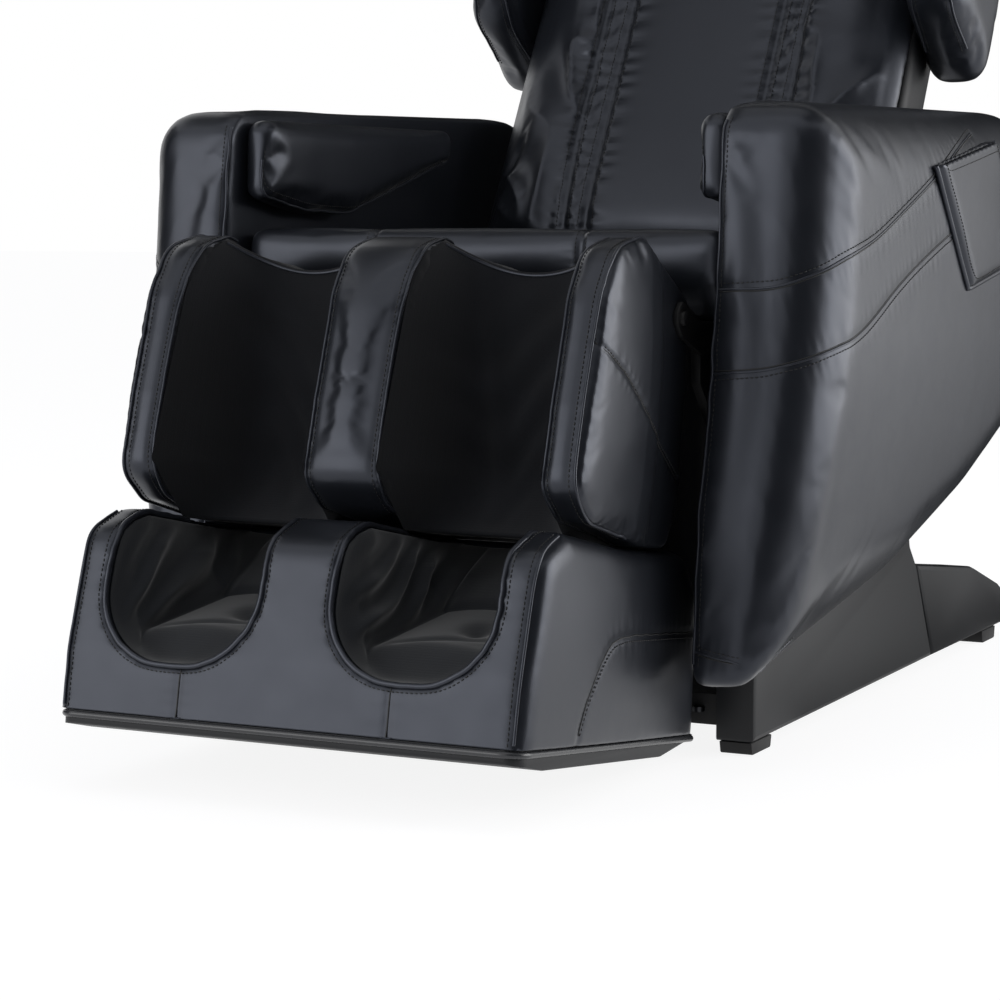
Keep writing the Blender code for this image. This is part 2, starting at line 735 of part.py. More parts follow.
# Recline actuator under the pan: its yoke pulls the crank bar of the back frame
RECLINE_ARM = 0.080
RECLINE_HALF = math.radians(RECLINE_RANGE / 2)
CRANK_Y = RECLINE_Y + RECLINE_ARM * math.sin(RECLINE_HALF)
CRANK_Z = RECLINE_Z - RECLINE_ARM * math.cos(RECLINE_HALF)
RECLINE_ROD_Z = CRANK_Z - RECLINE_ARM * (1 - math.cos(RECLINE_HALF)) / 2
RECLINE_SIDE = RECLINE_ARM * (1 - math.cos(RECLINE_HALF)) / 2 + BAR + SWING
RECLINE_STROKE = 2 * RECLINE_ARM * math.sin(RECLINE_HALF)
RECLINE_X = 0.100
RECLINE_FRONT = CRANK_Y - 0.240
recline_body = add(
    "recline_actuator_body",
    block(
        (RECLINE_X - 0.030, RECLINE_X + 0.030),
        (RECLINE_FRONT - RECLINE_STROKE - 0.080, RECLINE_FRONT - RECLINE_STROKE + 0.005),
        (RECLINE_ROD_Z - 0.030, PAN_LOW - GAP),
    ),
    "seat",
    PLASTIC,
)
TUBE_REAR = CRANK_Y - RECLINE_STROKE - 0.040
tube = rod(
    (RECLINE_X, RECLINE_FRONT - RECLINE_STROKE - 0.010, RECLINE_ROD_Z),
    (RECLINE_X, TUBE_REAR, RECLINE_ROD_Z),
    0.018,
)
join(recline_body, add("recline_tube", tube, "seat"))
bore = rod(
    (RECLINE_X, RECLINE_FRONT - RECLINE_STROKE - 0.003, RECLINE_ROD_Z),
    (RECLINE_X, TUBE_REAR + 0.020, RECLINE_ROD_Z),
    BAR + 0.001 + GAP,
)
cut(recline_body, add("recline_bore", bore, "seat"))
axis("recline_rod", "seat", (RECLINE_X, CRANK_Y, RECLINE_ROD_Z))
recline_rod = add(
    "recline_actuator_rod",
    rod((RECLINE_X, RECLINE_FRONT, RECLINE_ROD_Z), (RECLINE_X, CRANK_Y - 0.012, RECLINE_ROD_Z), BAR + 0.001),
    "recline_rod",
    BRIGHT,
)
yoke = block(
    (RECLINE_X - 0.013, RECLINE_X + 0.013),
    (CRANK_Y - 0.017, CRANK_Y + 0.017),
    (RECLINE_ROD_Z - RECLINE_SIDE - 0.006, RECLINE_ROD_Z + RECLINE_SIDE + 0.006),
)
join(recline_rod, add("recline_yoke", yoke, "recline_rod"))
slot = block(
    (RECLINE_X - 0.030, RECLINE_X + 0.030),
    (CRANK_Y - BAR - SWING, CRANK_Y + BAR + SWING),
    (RECLINE_ROD_Z - RECLINE_SIDE, RECLINE_ROD_Z + RECLINE_SIDE),
)
cut(recline_rod, add("recline_slot", slot, "recline_rod"))

# Back frame: two uprights on the recline shaft, two cross bars and the crank bar below
UPRIGHT_OUTER = BACK_HALF - 0.034
UPRIGHT_INNER = UPRIGHT_OUTER - 0.020
UPRIGHT_HALF = 0.018
FRAME_TOP = BACK_LENGTH - 0.140
LOW_BAR = 0.070
lean = math.radians(BACK_LEAN)
crank = Vector((CRANK_Y - RECLINE_Y, CRANK_Z - RECLINE_Z))
CRANK_ALONG = crank.x * math.sin(lean) + crank.y * math.cos(lean)
CRANK_OUT = -crank.x * math.cos(lean) + crank.y * math.sin(lean)
upright_outline = rounded(
    [
        (FRAME_TOP, UPRIGHT_HALF, 0),
        (FRAME_TOP, -UPRIGHT_HALF, 0),
        (0.030, -UPRIGHT_HALF, 0.010),
        (CRANK_ALONG + 0.004, CRANK_OUT - 0.014, 0.010),
        (CRANK_ALONG - 0.016, CRANK_OUT, 0.010),
        (-0.022, UPRIGHT_HALF - 0.006, 0.010),
        (-0.010, UPRIGHT_HALF, 0.008),
    ]
)
back_frame = add(
    "back_frame",
    block(
        (-UPRIGHT_INNER - 0.003, UPRIGHT_INNER + 0.003),
        (FRAME_TOP - 0.025, FRAME_TOP - 0.002),
        (-UPRIGHT_HALF + 0.002, 0),
        back_point,
    ),
    "back",
    STEEL,
)
low_bar = block(
    (-UPRIGHT_INNER - 0.003, UPRIGHT_INNER + 0.003),
    (LOW_BAR, LOW_BAR + 0.022),
    (-UPRIGHT_HALF + 0.002, 0),
    back_point,
)
crank_bar = across(-UPRIGHT_INNER - 0.004, UPRIGHT_INNER + 0.004, CRANK_Y, CRANK_Z, BAR)
for name, side in SIDES:
    upright = prism(upright_outline, side * UPRIGHT_INNER, side * UPRIGHT_OUTER, back_point)
    join(back_frame, add("upright_" + name, upright, "back"))
join(back_frame, add("low_bar", low_bar, "back"))
join(back_frame, add("crank_bar", crank_bar, "back"))
shaft_hole = across(-HOLE_END, HOLE_END, RECLINE_Y, RECLINE_Z, SHAFT + RUN, 24)
cut(back_frame, add("recline_shaft_hole", shaft_hole, "back"))

RAIL_X = 0.125
RAIL_DEEP = 0.025
for name, side in SIDES:
    guide = add(
        "guide_rail_" + name,
        block(
            (side * RAIL_X, side * (RAIL_X + 0.022)),
            (LOW_BAR + 0.002, FRAME_TOP - 0.004),
            (GAP, RAIL_DEEP),
            back_point,
        ),
        "back",
        STEEL,
    )
    groove = block(
        (side * (RAIL_X - 0.010), side * (RAIL_X + 0.011)),
        (LOW_BAR - 0.020, FRAME_TOP + 0.020),
        (0.0090, 0.0170),
        back_point,
    )
    cut(guide, add("groove_" + name, groove, "back"))

# Massage carriage on the rails, with two rocking arms and their rollers
CARRIAGE_MIDDLE = 0.185
CARRIAGE_TRAVEL = 0.400
PIVOT_OUT = 0.037
ROCKER_REACH = 0.075
axis("carriage", "back", back_point(0, CARRIAGE_MIDDLE, 0.012))
carriage = add(
    "massage_carriage",
    block(
        (-RAIL_X + 0.003, RAIL_X - 0.003),
        (CARRIAGE_MIDDLE - 0.040, CARRIAGE_MIDDLE + 0.040),
        (0.002, 0.022),
        back_point,
    ),
    "carriage",
    PLASTIC,
)
tongue = block(
    (-RAIL_X - 0.0095, RAIL_X + 0.0095),
    (CARRIAGE_MIDDLE - 0.036, CARRIAGE_MIDDLE + 0.036),
    (0.0095, 0.0165),
    back_point,
)
join(carriage, add("carriage_tongue", tongue, "carriage"))
motor = block(
    (-0.060, 0.060),
    (CARRIAGE_MIDDLE - 0.030, CARRIAGE_MIDDLE + 0.030),
    (-0.050, 0.004),
    back_point,
)
join(carriage, add("carriage_motor", motor, "carriage"))
for name, side in SIDES:
    lug = block(
        (side * 0.020, side * 0.040),
        (CARRIAGE_MIDDLE - 0.012, CARRIAGE_MIDDLE + 0.012),
        (0.018, PIVOT_OUT + 0.009),
        back_point,
    )
    join(carriage, add("rocker_lug_" + name, lug, "carriage"))
    stub = rod(
        back_point(side * 0.036, CARRIAGE_MIDDLE, PIVOT_OUT),
        back_point(side * 0.062, CARRIAGE_MIDDLE, PIVOT_OUT),
        0.005,
        12,
    )
    join(carriage, add("rocker_stub_" + name, stub, "carriage"))
    axis("rocker_" + name, "carriage", back_point(side * 0.052, CARRIAGE_MIDDLE, PIVOT_OUT))
    rocker_outline = rounded(
        [
            (CARRIAGE_MIDDLE - ROCKER_REACH - 0.010, PIVOT_OUT - 0.006, 0.005),
            (CARRIAGE_MIDDLE, PIVOT_OUT - 0.010, 0.010),
            (CARRIAGE_MIDDLE + ROCKER_REACH + 0.010, PIVOT_OUT - 0.006, 0.005),
            (CARRIAGE_MIDDLE + ROCKER_REACH + 0.010, PIVOT_OUT + 0.010, 0.005),
            (CARRIAGE_MIDDLE, PIVOT_OUT + 0.010, 0.010),
            (CARRIAGE_MIDDLE - ROCKER_REACH - 0.010, PIVOT_OUT + 0.010, 0.005),
        ],
        2,
    )
    rocker = add(
        "rocker_arm_" + name,
        prism(rocker_outline, side * 0.0405, side * 0.060, back_point),
        "rocker_" + name,
        PLASTIC,
    )
    for end, turn in (("upper", 1), ("lower", -1)):
        along = CARRIAGE_MIDDLE + turn * ROCKER_REACH
        middle = back_point(0, along, PIVOT_OUT + 0.002)
        axle = across(side * 0.056, side * 0.084, middle.y, middle.z, 0.004, 12)
        join(rocker, add("roller_axle_" + end + "_" + name, axle, "rocker_" + name))
        axis("roller_" + end + "_" + name, "rocker_" + name, (side * 0.072, middle.y, middle.z))
        outline = [(0.0605, 0.014), (0.066, 0.018), (0.078, 0.018), (0.0835, 0.014)]
        wheel = bmesh.new()
        rings = []
        for x, radius in outline:
            ring = []
            for k in range(20):
                turned = math.radians(18 * k)
                y = middle.y + radius * math.cos(turned)
                z = middle.z + radius * math.sin(turned)
                ring.append(wheel.verts.new((side * x, y, z)))
            rings.append(ring)
        for first, second in zip(rings, rings[1:]):
            for k in range(20):
                wheel.faces.new((first[k - 1], first[k], second[k], second[k - 1]))
        wheel.faces.new(rings[0])
        wheel.faces.new(rings[-1][::-1])
        wheel = add("massage_roller_" + end + "_" + name, wheel, "roller_" + end + "_" + name, ROLLER)
        hub = across(side * 0.05, side * 0.10, middle.y, middle.z, 0.004 + GAP, 12)
        cut(wheel, add("roller_hub_" + end + "_" + name, hub, "roller_" + end + "_" + name))
    pivot = rod(
        back_point(side * 0.020, CARRIAGE_MIDDLE, PIVOT_OUT),
        back_point(side * 0.090, CARRIAGE_MIDDLE, PIVOT_OUT),
        0.005 + GAP,
        12,
    )
    cut(rocker, add("rocker_hole_" + name, pivot, "rocker_" + name))

# Back shell and upholstery
SHELL_LOW = 0.060
SHELL_DEEP = -0.090
RIM = 0.070
SHELL_WALL = 0.006
CUSHION_FRONT = 0.125


def back_half(along):
    """Half width of the back, narrowing round the head."""
    rise = max(0.0, along - 0.60 * BACK_LENGTH) / (0.40 * BACK_LENGTH)
    return BACK_HALF * (1 - 0.24 * rise**2.2)


def shell_depth(u, v):
    round_side = (1 - abs(u) ** 8) ** 0.34
    round_top = (1 - max(0.0, (v - 0.80) / 0.20) ** 4) ** 0.5
    return round_side * round_top


def shell_outer(u, v):
    along = SHELL_LOW + (BACK_LENGTH - SHELL_LOW) * v
    return back_point(u * back_half(along), along, RIM + (SHELL_DEEP - RIM) * shell_depth(u, v))


def shell_inner(u, v):
    along = SHELL_LOW + (BACK_LENGTH - SHELL_WALL - SHELL_LOW) * v
    depth = RIM + (SHELL_DEEP + SHELL_WALL - RIM) * shell_depth(u, v)
    return back_point(u * (back_half(along) - SHELL_WALL), along, depth)


shell_us = both_ways(0, 0.40, 0.75, 0.90, 0.97, 0.995, 1)
shell_vs = shares(0, 0.20, 0.40, 0.60, 0.72, 0.80, 0.86, 0.92, 0.96, 0.985, 1)
add("back_shell", sheet(shell_us, shell_vs, shell_outer, shell_inner), "back", PLASTIC)


def shell_floor(x):
    """Inner face of the shell behind the uprights, as its facets run."""
    u = x / (BACK_HALF - SHELL_WALL)
    low = max(grid for grid in shell_us if grid <= u)
    high = min(grid for grid in shell_us if grid > u)
    part = (u - low) / (high - low)
    depth = shell_depth(low, 0) * (1 - part) + shell_depth(high, 0) * part
    return RIM + (SHELL_DEEP + SHELL_WALL - RIM) * depth


BOSS_OUTER = UPRIGHT_INNER + 0.010
for name, side in SIDES:
    boss = block(
        (side * (UPRIGHT_INNER - 0.006), side * BOSS_OUTER),
        (0.300, 0.340),
        (shell_floor(BOSS_OUTER) + GAP, -UPRIGHT_HALF + 0.006),
        back_point,
    )
    join(back_frame, add("shell_boss_" + name, boss, "back"))

CHANNEL_X = 0.115


def back_front(u, v):
    """Padded back with a sunk channel either side of the spine, drawn in at its edges."""
    along = SHELL_LOW + (BACK_LENGTH - SHELL_LOW) * v
    x = u * back_half(along)
    edge = (1 - abs(u) ** 8) * (1 - abs(2 * v - 1) ** 14)
    dip = 0.008 * math.exp(-(((abs(x) - CHANNEL_X) / 0.018) ** 2))
    return back_point(x * 0.985, along, RIM + 0.014 + (CUSHION_FRONT - RIM - 0.014) * edge**0.5 - dip * edge)


def back_rear(u, v):
    along = SHELL_LOW + (BACK_LENGTH - SHELL_LOW) * v
    return back_point(u * back_half(along), along, RIM + GAP)


back_us = both_ways(0, 0.2, 0.36, 0.46, 0.56, 0.68, 0.85, 0.97, 1)
back_vs = shares(0, 0.02, 0.08, 0.2, 0.35, 0.5, 0.65, 0.78, 0.88, 0.95, 0.985, 1)
add("back_cushion", sheet(back_us, back_vs, back_front, back_rear), "back", LEATHER)

PILLOW_LOW = BACK_LENGTH - 0.215
PILLOW_HIGH = BACK_LENGTH - 0.045


def pillow_front(u, v):
    puff = (1 - abs(u) ** 4) * (1 - abs(2 * v - 1) ** 4)
    along = PILLOW_LOW + (PILLOW_HIGH - PILLOW_LOW) * v
    return back_point(0.135 * u, along, CUSHION_FRONT + 0.012 + 0.042 * puff**0.5)


def pillow_rear(u, v):
    along = PILLOW_LOW + (PILLOW_HIGH - PILLOW_LOW) * v
    return back_point(0.131 * u, along, CUSHION_FRONT + GAP)


pillow_us = both_ways(0, 0.5, 0.8, 0.96, 1)
pillow_vs = shares(0, 0.05, 0.2, 0.5, 0.8, 0.95, 1)
add("head_pillow", sheet(pillow_us, pillow_vs, pillow_front, pillow_rear), "back", LEATHER)

WING_LOW = 0.43 * BACK_LENGTH
WING_HIGH = 0.78 * BACK_LENGTH
wing_outline = rounded(
    [
        (WING_LOW, -0.020, 0.030),
        (WING_LOW + 0.020, 0.130, 0.060),
        (WING_LOW + 0.100, 0.215, 0.050),
        (WING_HIGH - 0.060, 0.200, 0.060),
        (WING_HIGH, 0.080, 0.060),
        (WING_HIGH - 0.020, -0.030, 0.030),
    ]
)
for name, side in SIDES:
    wing = mirrored(soft_edges(BACK_HALF + GAP, BACK_HALF + 0.075, 0.024), side)
    add("shoulder_wing_" + name, loft(wing_outline, wing, back_point), "back", LEATHER)

# Leg rest: a tray behind two calf wells, with padded ribs between and beside them
RIB = 0.0390
MIDDLE_HALF = 0.0405
WELL_INNER = MIDDLE_HALF + 0.0006
WELL_OUTER = LEG_HALF - RIB - 0.0006
TRAY_REAR = -0.005
TRAY_FRONT = 0.020
CALF_LOW = 0.2245
FOOT_TOP = 0.2265
rib_front = [
    (-0.070, 0.080, 0.040),
    (-0.050, 0.149, 0.040),
    (-0.006, 0.1750, 0.050),
    (0.100, 0.1985, 0.050),
    (0.178, 0.2120, 0.030),
    (0.206, 0.1720, 0.030),
    (CALF_LOW, 0.0600, 0.020),
]
rib_rear = [(CALF_LOW + 0.001, -0.015, 0.020), (0.180, -0.036, 0.020), (-0.020, -0.036, 0.015)]
outer_rib = rounded(rib_front + rib_rear, 2)
inner_rib = rounded(rib_front + [(CALF_LOW, TRAY_FRONT + GAP, 0), (-0.025, TRAY_FRONT + GAP, 0)], 2)
for name, side in SIDES:
    stations = mirrored(soft_edges(LEG_HALF - RIB, LEG_HALF, 0.010), side)
    rib = add("calf_rib_" + name, loft(outer_rib, stations, leg_point), "leg", LEATHER)
    hole = across(side * (LEG_HALF - 0.021), side * HOLE_END, LEG_Y, LEG_Z, PIN + RUN, 24)
    cut(rib, add("rib_hole_" + name, hole, "leg"))
stations = soft_edges(-MIDDLE_HALF, MIDDLE_HALF, 0.010)
add("calf_rib_middle", loft(inner_rib, stations, leg_point), "leg", LEATHER)

tray = add(
    "calf_tray",
    block((-WELL_OUTER - GAP, WELL_OUTER + GAP), (-0.020, 0.205), (TRAY_REAR, TRAY_FRONT), leg_point),
    "leg",
    STEEL,
)
SLIDE_HALF = 0.100
SLIDE_REAR = 0.003
SLIDE_FRONT = 0.012
SLIDE_TOP = 0.045
sleeve = block(
    (-SLIDE_HALF - SLACK, SLIDE_HALF + SLACK),
    (SLIDE_TOP - 0.005, 0.260),
    (SLIDE_REAR - SLACK, SLIDE_FRONT + SLACK),
    leg_point,
)
cut(tray, add("slide_sleeve", sleeve, "leg"))
tilt_in = math.radians(LEG_LEAN)
reach = Vector((LEG_PIN_Y - LEG_Y, LEG_PIN_Z - LEG_Z))
PIN_DOWN = -reach.x * math.sin(tilt_in) - reach.y * math.cos(tilt_in)
PIN_OUT = -reach.x * math.cos(tilt_in) + reach.y * math.sin(tilt_in)
for name, side in SIDES:
    ear = block(
        (side * 0.0120, side * 0.0190),
        (PIN_DOWN - 0.012, PIN_DOWN + 0.012),
        (PIN_OUT - 0.011, TRAY_REAR + 0.003),
        leg_point,
    )
    join(tray, add("tray_ear_" + name, ear, "leg"))
join(tray, add("tray_pin", across(-0.0150, 0.0150, LEG_PIN_Y, LEG_PIN_Z, 0.006, 12), "leg"))

WELL_TOP = -0.036
WELL_LOW = CALF_LOW - 0.004


def rib_line(down):
    """How far out the front of a rib stands at a height."""
    if down < 0:
        return 0.173 + 0.35 * down - 12.0 * down**2
    return 0.173 + 0.26 * min(down, 0.165) - 1.15 * max(0.0, down - 0.165)


def well_front(u, v):
    """Hollow that takes a calf, open at the top and lipped at the bottom."""
    top = WELL_TOP - 0.028 * abs(u) ** 2
    down = top + (WELL_LOW - top) * v
    edge = rib_line(down) - 0.022
    deep = 0.067 + 0.045 * max(0.0, v / 0.3 - 2.333) ** 2
    out = deep + (edge - deep) * abs(u) ** 3.5
    x = WELL_INNER + (WELL_OUTER - WELL_INNER) * (u + 1) / 2
    return x, down, out


def well_rear(u, v):
    x, down, out = well_front(u, v)
    return x, max(min(down, WELL_LOW), -0.046), TRAY_FRONT + GAP


well_us = both_ways(0, 0.3, 0.6, 0.8, 0.93, 1)
well_vs = shares(0, 0.06, 0.15, 0.28, 0.42, 0.56, 0.7, 0.84, 0.94, 1)


def on_leg(surface, side):
    def point(u, v):
        x, down, out = surface(u, v)
        return leg_point(side * x, down, out)

    return point


for name, side in SIDES:
    shape = sheet(well_us, well_vs, on_leg(well_front, side), on_leg(well_rear, side))
    add("calf_well_" + name, shape, "leg", FABRIC)

# Foot rest: upholstered box with two foot wells on a moulded tray, sliding out of the calf tray
SOLE = 0.408
TRAY_LOW = SOLE + 0.020
WELL_X = LEG_HALF / 2 + 0.0013
WELL_HALF = LEG_HALF / 2 - 0.0367
WELL_ROUND = WELL_HALF - 0.013
WELL_FLOOR = SOLE - 0.049
HEEL = 0.020
FOOT_REAR = -0.1110
foot_outline = rounded(
    [
        (SOLE, 0.295, 0.003),
        (SOLE - 0.060, 0.291, 0.060),
        (0.240, 0.268, 0.032),
        (0.2150, 0.222, 0.020),
        (FOOT_TOP, 0.075, 0.050),
        (FOOT_TOP, FOOT_REAR + 0.050, 0.012),
        (0.262, FOOT_REAR + 0.0155, 0.020),
        (SOLE, FOOT_REAR, 0.003),
    ]
)
foot_body = add(
    "foot_rest_body",
    loft(foot_outline, soft_edges(-LEG_HALF, LEG_HALF, 0.014), leg_point),
    "foot",
    LEATHER,
)


def u_outline(middle, half, floor, top, radius, steps=6):
    """Upright U in (x, down), open at the top."""
    outline = [(middle - half, top)]
    for k in range(steps + 1):
        turn = math.radians(90 * k / steps)
        x = middle - half + radius * (1 - math.cos(turn))
        outline.append((x, floor - radius * (1 - math.sin(turn))))
    for k in range(steps + 1):
        turn = math.radians(90 * (steps - k) / steps)
        x = middle + half - radius * (1 - math.cos(turn))
        outline.append((x, floor - radius * (1 - math.sin(turn))))
    outline.append((middle + half, top))
    return [(x, down, 0) for x, down in outline]


def along_foot(out, x, down):
    return leg_point(x, down, out)


LINER = 0.003
LINER_GAP = 0.0008
LINER_TOP = FOOT_TOP + 0.004
LINER_FRONT = 0.236
ROLLER_OUT = 0.170
ROLLER_DOWN = WELL_FLOOR + 0.019
ROLLER_R = 0.016
ROLLER_HALF = 0.055
SPINDLE = 0.004
SPINDLE_HALF = ROLLER_HALF + 0.012
for name, side in SIDES:
    middle = side * WELL_X
    well = u_outline(middle, WELL_HALF, WELL_FLOOR, 0.150, WELL_ROUND)
    cut(foot_body, add("foot_well_cut_" + name, prism(rounded(well), HEEL, 0.450, along_foot), "foot"))
    pit = block(
        (middle - ROLLER_HALF - 0.003, middle + ROLLER_HALF + 0.003),
        (WELL_FLOOR - 0.030, ROLLER_DOWN + ROLLER_R + 0.002),
        (ROLLER_OUT - ROLLER_R - 0.002, ROLLER_OUT + ROLLER_R + 0.002),
        leg_point,
    )
    cut(foot_body, add("roller_pit_" + name, pit, "foot"))
    centre = leg_point(0, ROLLER_DOWN, ROLLER_OUT)
    reach = SPINDLE_HALF + 0.002
    bearing = across(middle - reach, middle + reach, centre.y, centre.z, SPINDLE + GAP, 12)
    cut(foot_body, add("roller_bearing_" + name, bearing, "foot"))

    half = WELL_HALF - LINER_GAP
    outer = u_outline(middle, half, WELL_FLOOR - LINER_GAP, LINER_TOP, WELL_ROUND - LINER_GAP)
    thick = LINER_GAP + LINER
    inner = u_outline(middle, WELL_HALF - thick, WELL_FLOOR - thick, LINER_TOP, WELL_ROUND - thick)
    liner = prism(rounded(outer + inner[::-1]), HEEL + LINER_GAP, LINER_FRONT, along_foot)
    add("foot_liner_" + name, liner, "foot", FABRIC)

    axis("foot_roller_axis_" + name, "foot", (middle, centre.y, centre.z))
    roller = bmesh.new()
    rings = []
    for x, radius in (
        (-ROLLER_HALF, 0.012),
        (-ROLLER_HALF + 0.006, ROLLER_R),
        (-0.018, ROLLER_R),
        (0.0, 0.011),
        (0.018, ROLLER_R),
        (ROLLER_HALF - 0.006, ROLLER_R),
        (ROLLER_HALF, 0.012),
    ):
        ring = []
        for k in range(16):
            turn = math.radians(22.5 * k)
            y = centre.y + radius * math.cos(turn)
            z = centre.z + radius * math.sin(turn)
            ring.append(roller.verts.new((middle + x, y, z)))
        rings.append(ring)
    for first, second in zip(rings, rings[1:]):
        for k in range(16):
            roller.faces.new((first[k - 1], first[k], second[k], second[k - 1]))
    roller.faces.new(rings[0])
    roller.faces.new(rings[-1][::-1])
    roller = add("foot_roller_" + name, roller, "foot_roller_axis_" + name, ROLLER)
    spindle = across(middle - SPINDLE_HALF, middle + SPINDLE_HALF, centre.y, centre.z, SPINDLE, 12)
    join(roller, add("roller_spindle_" + name, spindle, "foot_roller_axis_" + name))

TRAY_NOSE = 0.2948
TRAY_HALF = LEG_HALF - 0.0005
TRAY_ROUND = 0.020
tray_outline = rounded(
    [
        (SOLE + GAP, TRAY_NOSE, 0.001),
        (SOLE + 0.0135, TRAY_NOSE - 0.0010, 0.004),
        (TRAY_LOW, 0.2400, 0.010),
        (TRAY_LOW, FOOT_REAR + 0.0800, 0.010),
        (SOLE + 0.0045, FOOT_REAR, 0.002),
        (SOLE + GAP, FOOT_REAR, 0.001),
    ]
)
tray = add(
    "foot_rest_tray",
    loft(tray_outline, soft_edges(-TRAY_HALF, TRAY_HALF, 0.0020, 2), leg_point),
    "foot",
    PLASTIC,
)
for name, side in SIDES:
    beyond = 0.010
    line = [(TRAY_HALF - TRAY_ROUND, TRAY_NOSE + beyond), (TRAY_HALF + beyond, TRAY_NOSE + beyond)]
    line += [(TRAY_HALF + beyond, TRAY_NOSE - TRAY_ROUND)]
    for k in range(6):
        turn = math.radians(18 * k)
        x = TRAY_HALF - TRAY_ROUND * (1 - math.cos(turn))
        line.append((x, TRAY_NOSE - TRAY_ROUND * (1 - math.sin(turn))))
    corner = bmesh.new()
    rings = []
    for down in (SOLE - beyond, TRAY_LOW + beyond):
        rings.append([corner.verts.new(leg_point(side * x, down, out)) for x, out in line])
    for k in range(len(line)):
        corner.faces.new((rings[0][k - 1], rings[0][k], rings[1][k], rings[1][k - 1]))
    corner.faces.new(rings[0])
    corner.faces.new(rings[1][::-1])
    cut(tray, add("tray_corner_" + name, corner, "foot"))
add(
    "foot_slide",
    block((-SLIDE_HALF, SLIDE_HALF), (SLIDE_TOP, FOOT_TOP - GAP), (SLIDE_REAR, SLIDE_FRONT), leg_point),
    "foot",
    BRIGHT,
)
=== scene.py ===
import math

import bmesh
import bpy
import numpy as np
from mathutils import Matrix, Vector, kdtree, noise
from mathutils.bvhtree import BVHTree


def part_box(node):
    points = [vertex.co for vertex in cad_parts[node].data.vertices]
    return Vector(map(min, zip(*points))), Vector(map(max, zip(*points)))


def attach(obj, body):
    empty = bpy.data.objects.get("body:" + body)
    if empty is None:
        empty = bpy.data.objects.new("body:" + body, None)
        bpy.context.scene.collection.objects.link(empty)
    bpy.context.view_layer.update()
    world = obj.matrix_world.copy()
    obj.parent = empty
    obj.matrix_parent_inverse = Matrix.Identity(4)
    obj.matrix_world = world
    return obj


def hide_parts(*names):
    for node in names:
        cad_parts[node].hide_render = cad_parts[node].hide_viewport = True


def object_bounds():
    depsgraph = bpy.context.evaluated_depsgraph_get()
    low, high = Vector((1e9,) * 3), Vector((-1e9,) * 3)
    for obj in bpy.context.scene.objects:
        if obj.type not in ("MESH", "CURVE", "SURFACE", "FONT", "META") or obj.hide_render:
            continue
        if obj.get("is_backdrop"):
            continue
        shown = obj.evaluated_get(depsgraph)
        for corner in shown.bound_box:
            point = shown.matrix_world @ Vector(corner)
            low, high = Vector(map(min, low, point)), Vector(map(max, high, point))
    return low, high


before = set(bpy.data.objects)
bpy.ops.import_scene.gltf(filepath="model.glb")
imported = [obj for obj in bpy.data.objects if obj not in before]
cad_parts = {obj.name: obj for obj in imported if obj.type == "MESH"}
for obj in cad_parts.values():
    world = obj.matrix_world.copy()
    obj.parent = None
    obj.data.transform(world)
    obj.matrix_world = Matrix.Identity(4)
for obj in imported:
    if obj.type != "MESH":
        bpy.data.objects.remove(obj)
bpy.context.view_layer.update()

# Studio: the camera of the photograph, a pale floor that runs out of sight and four soft boxes.
# The dark cards are a photographer's flags. They show only in gloss, where the rounded corner of an
# arm goes dark between its lit front and its lit side.
scene = bpy.context.scene
scene.view_settings.view_transform = "Standard"

CAMERA_PLACE = (1.27385, -2.81463, 0.54366)
CAMERA_TURN = 26.216
CAMERA_DOWN = 5.957
lens = bpy.data.cameras.new("camera")
lens.sensor_width = 36
lens.lens = 98.94
lens.clip_end = 60
camera = bpy.data.objects.new("camera", lens)
camera.location = CAMERA_PLACE
camera.rotation_euler = (math.radians(90 - CAMERA_DOWN), 0, math.radians(CAMERA_TURN))
scene.collection.objects.link(camera)
scene.camera = camera


def tint(code):
    """Linear colour of an sRGB hex value."""
    shares = [int(code[i : i + 2], 16) / 255 for i in (1, 3, 5)]
    return (*[s / 12.92 if s <= 0.04045 else ((s + 0.055) / 1.055) ** 2.4 for s in shares], 1.0)


def add_node(tree, kind, inputs=None, **settings):
    """One node with its settings, and with its inputs set or linked."""
    made = tree.nodes.new(kind)
    for name, value in settings.items():
        setattr(made, name, value)
    for name, value in (inputs or {}).items():
        named = [socket for socket in made.inputs if socket.enabled and socket.name == name]
        socket = named[0] if named else made.inputs[name]
        if isinstance(value, bpy.types.NodeSocket):
            tree.links.new(value, socket)
        else:
            socket.default_value = value
    return made


def background_share(tree):
    """1 where a ray shows the background itself: to the camera, in gloss and through glass."""
    path = add_node(tree, "ShaderNodeLightPath").outputs
    gloss = add_node(tree, "ShaderNodeMath", {0: path["Is Camera Ray"], 1: path["Is Glossy Ray"]})
    glass = {0: gloss.outputs[0], 1: path["Is Transmission Ray"]}
    return add_node(tree, "ShaderNodeMath", glass, use_clamp=True).outputs[0]


world = bpy.data.worlds.new("white_studio")
world.use_nodes = True
scene.world = world
tree = world.node_tree
tree.nodes.clear()
room = add_node(tree, "ShaderNodeBackground", {"Color": tint("#f4f5f7"), "Strength": 0.55})
white = add_node(tree, "ShaderNodeBackground", {"Color": (1, 1, 1, 1), "Strength": 1.0})
share = background_share(tree)
seen = add_node(tree, "ShaderNodeMixShader", {0: share, 1: room.outputs[0], 2: white.outputs[0]})
add_node(tree, "ShaderNodeOutputWorld", {"Surface": seen.outputs[0]})


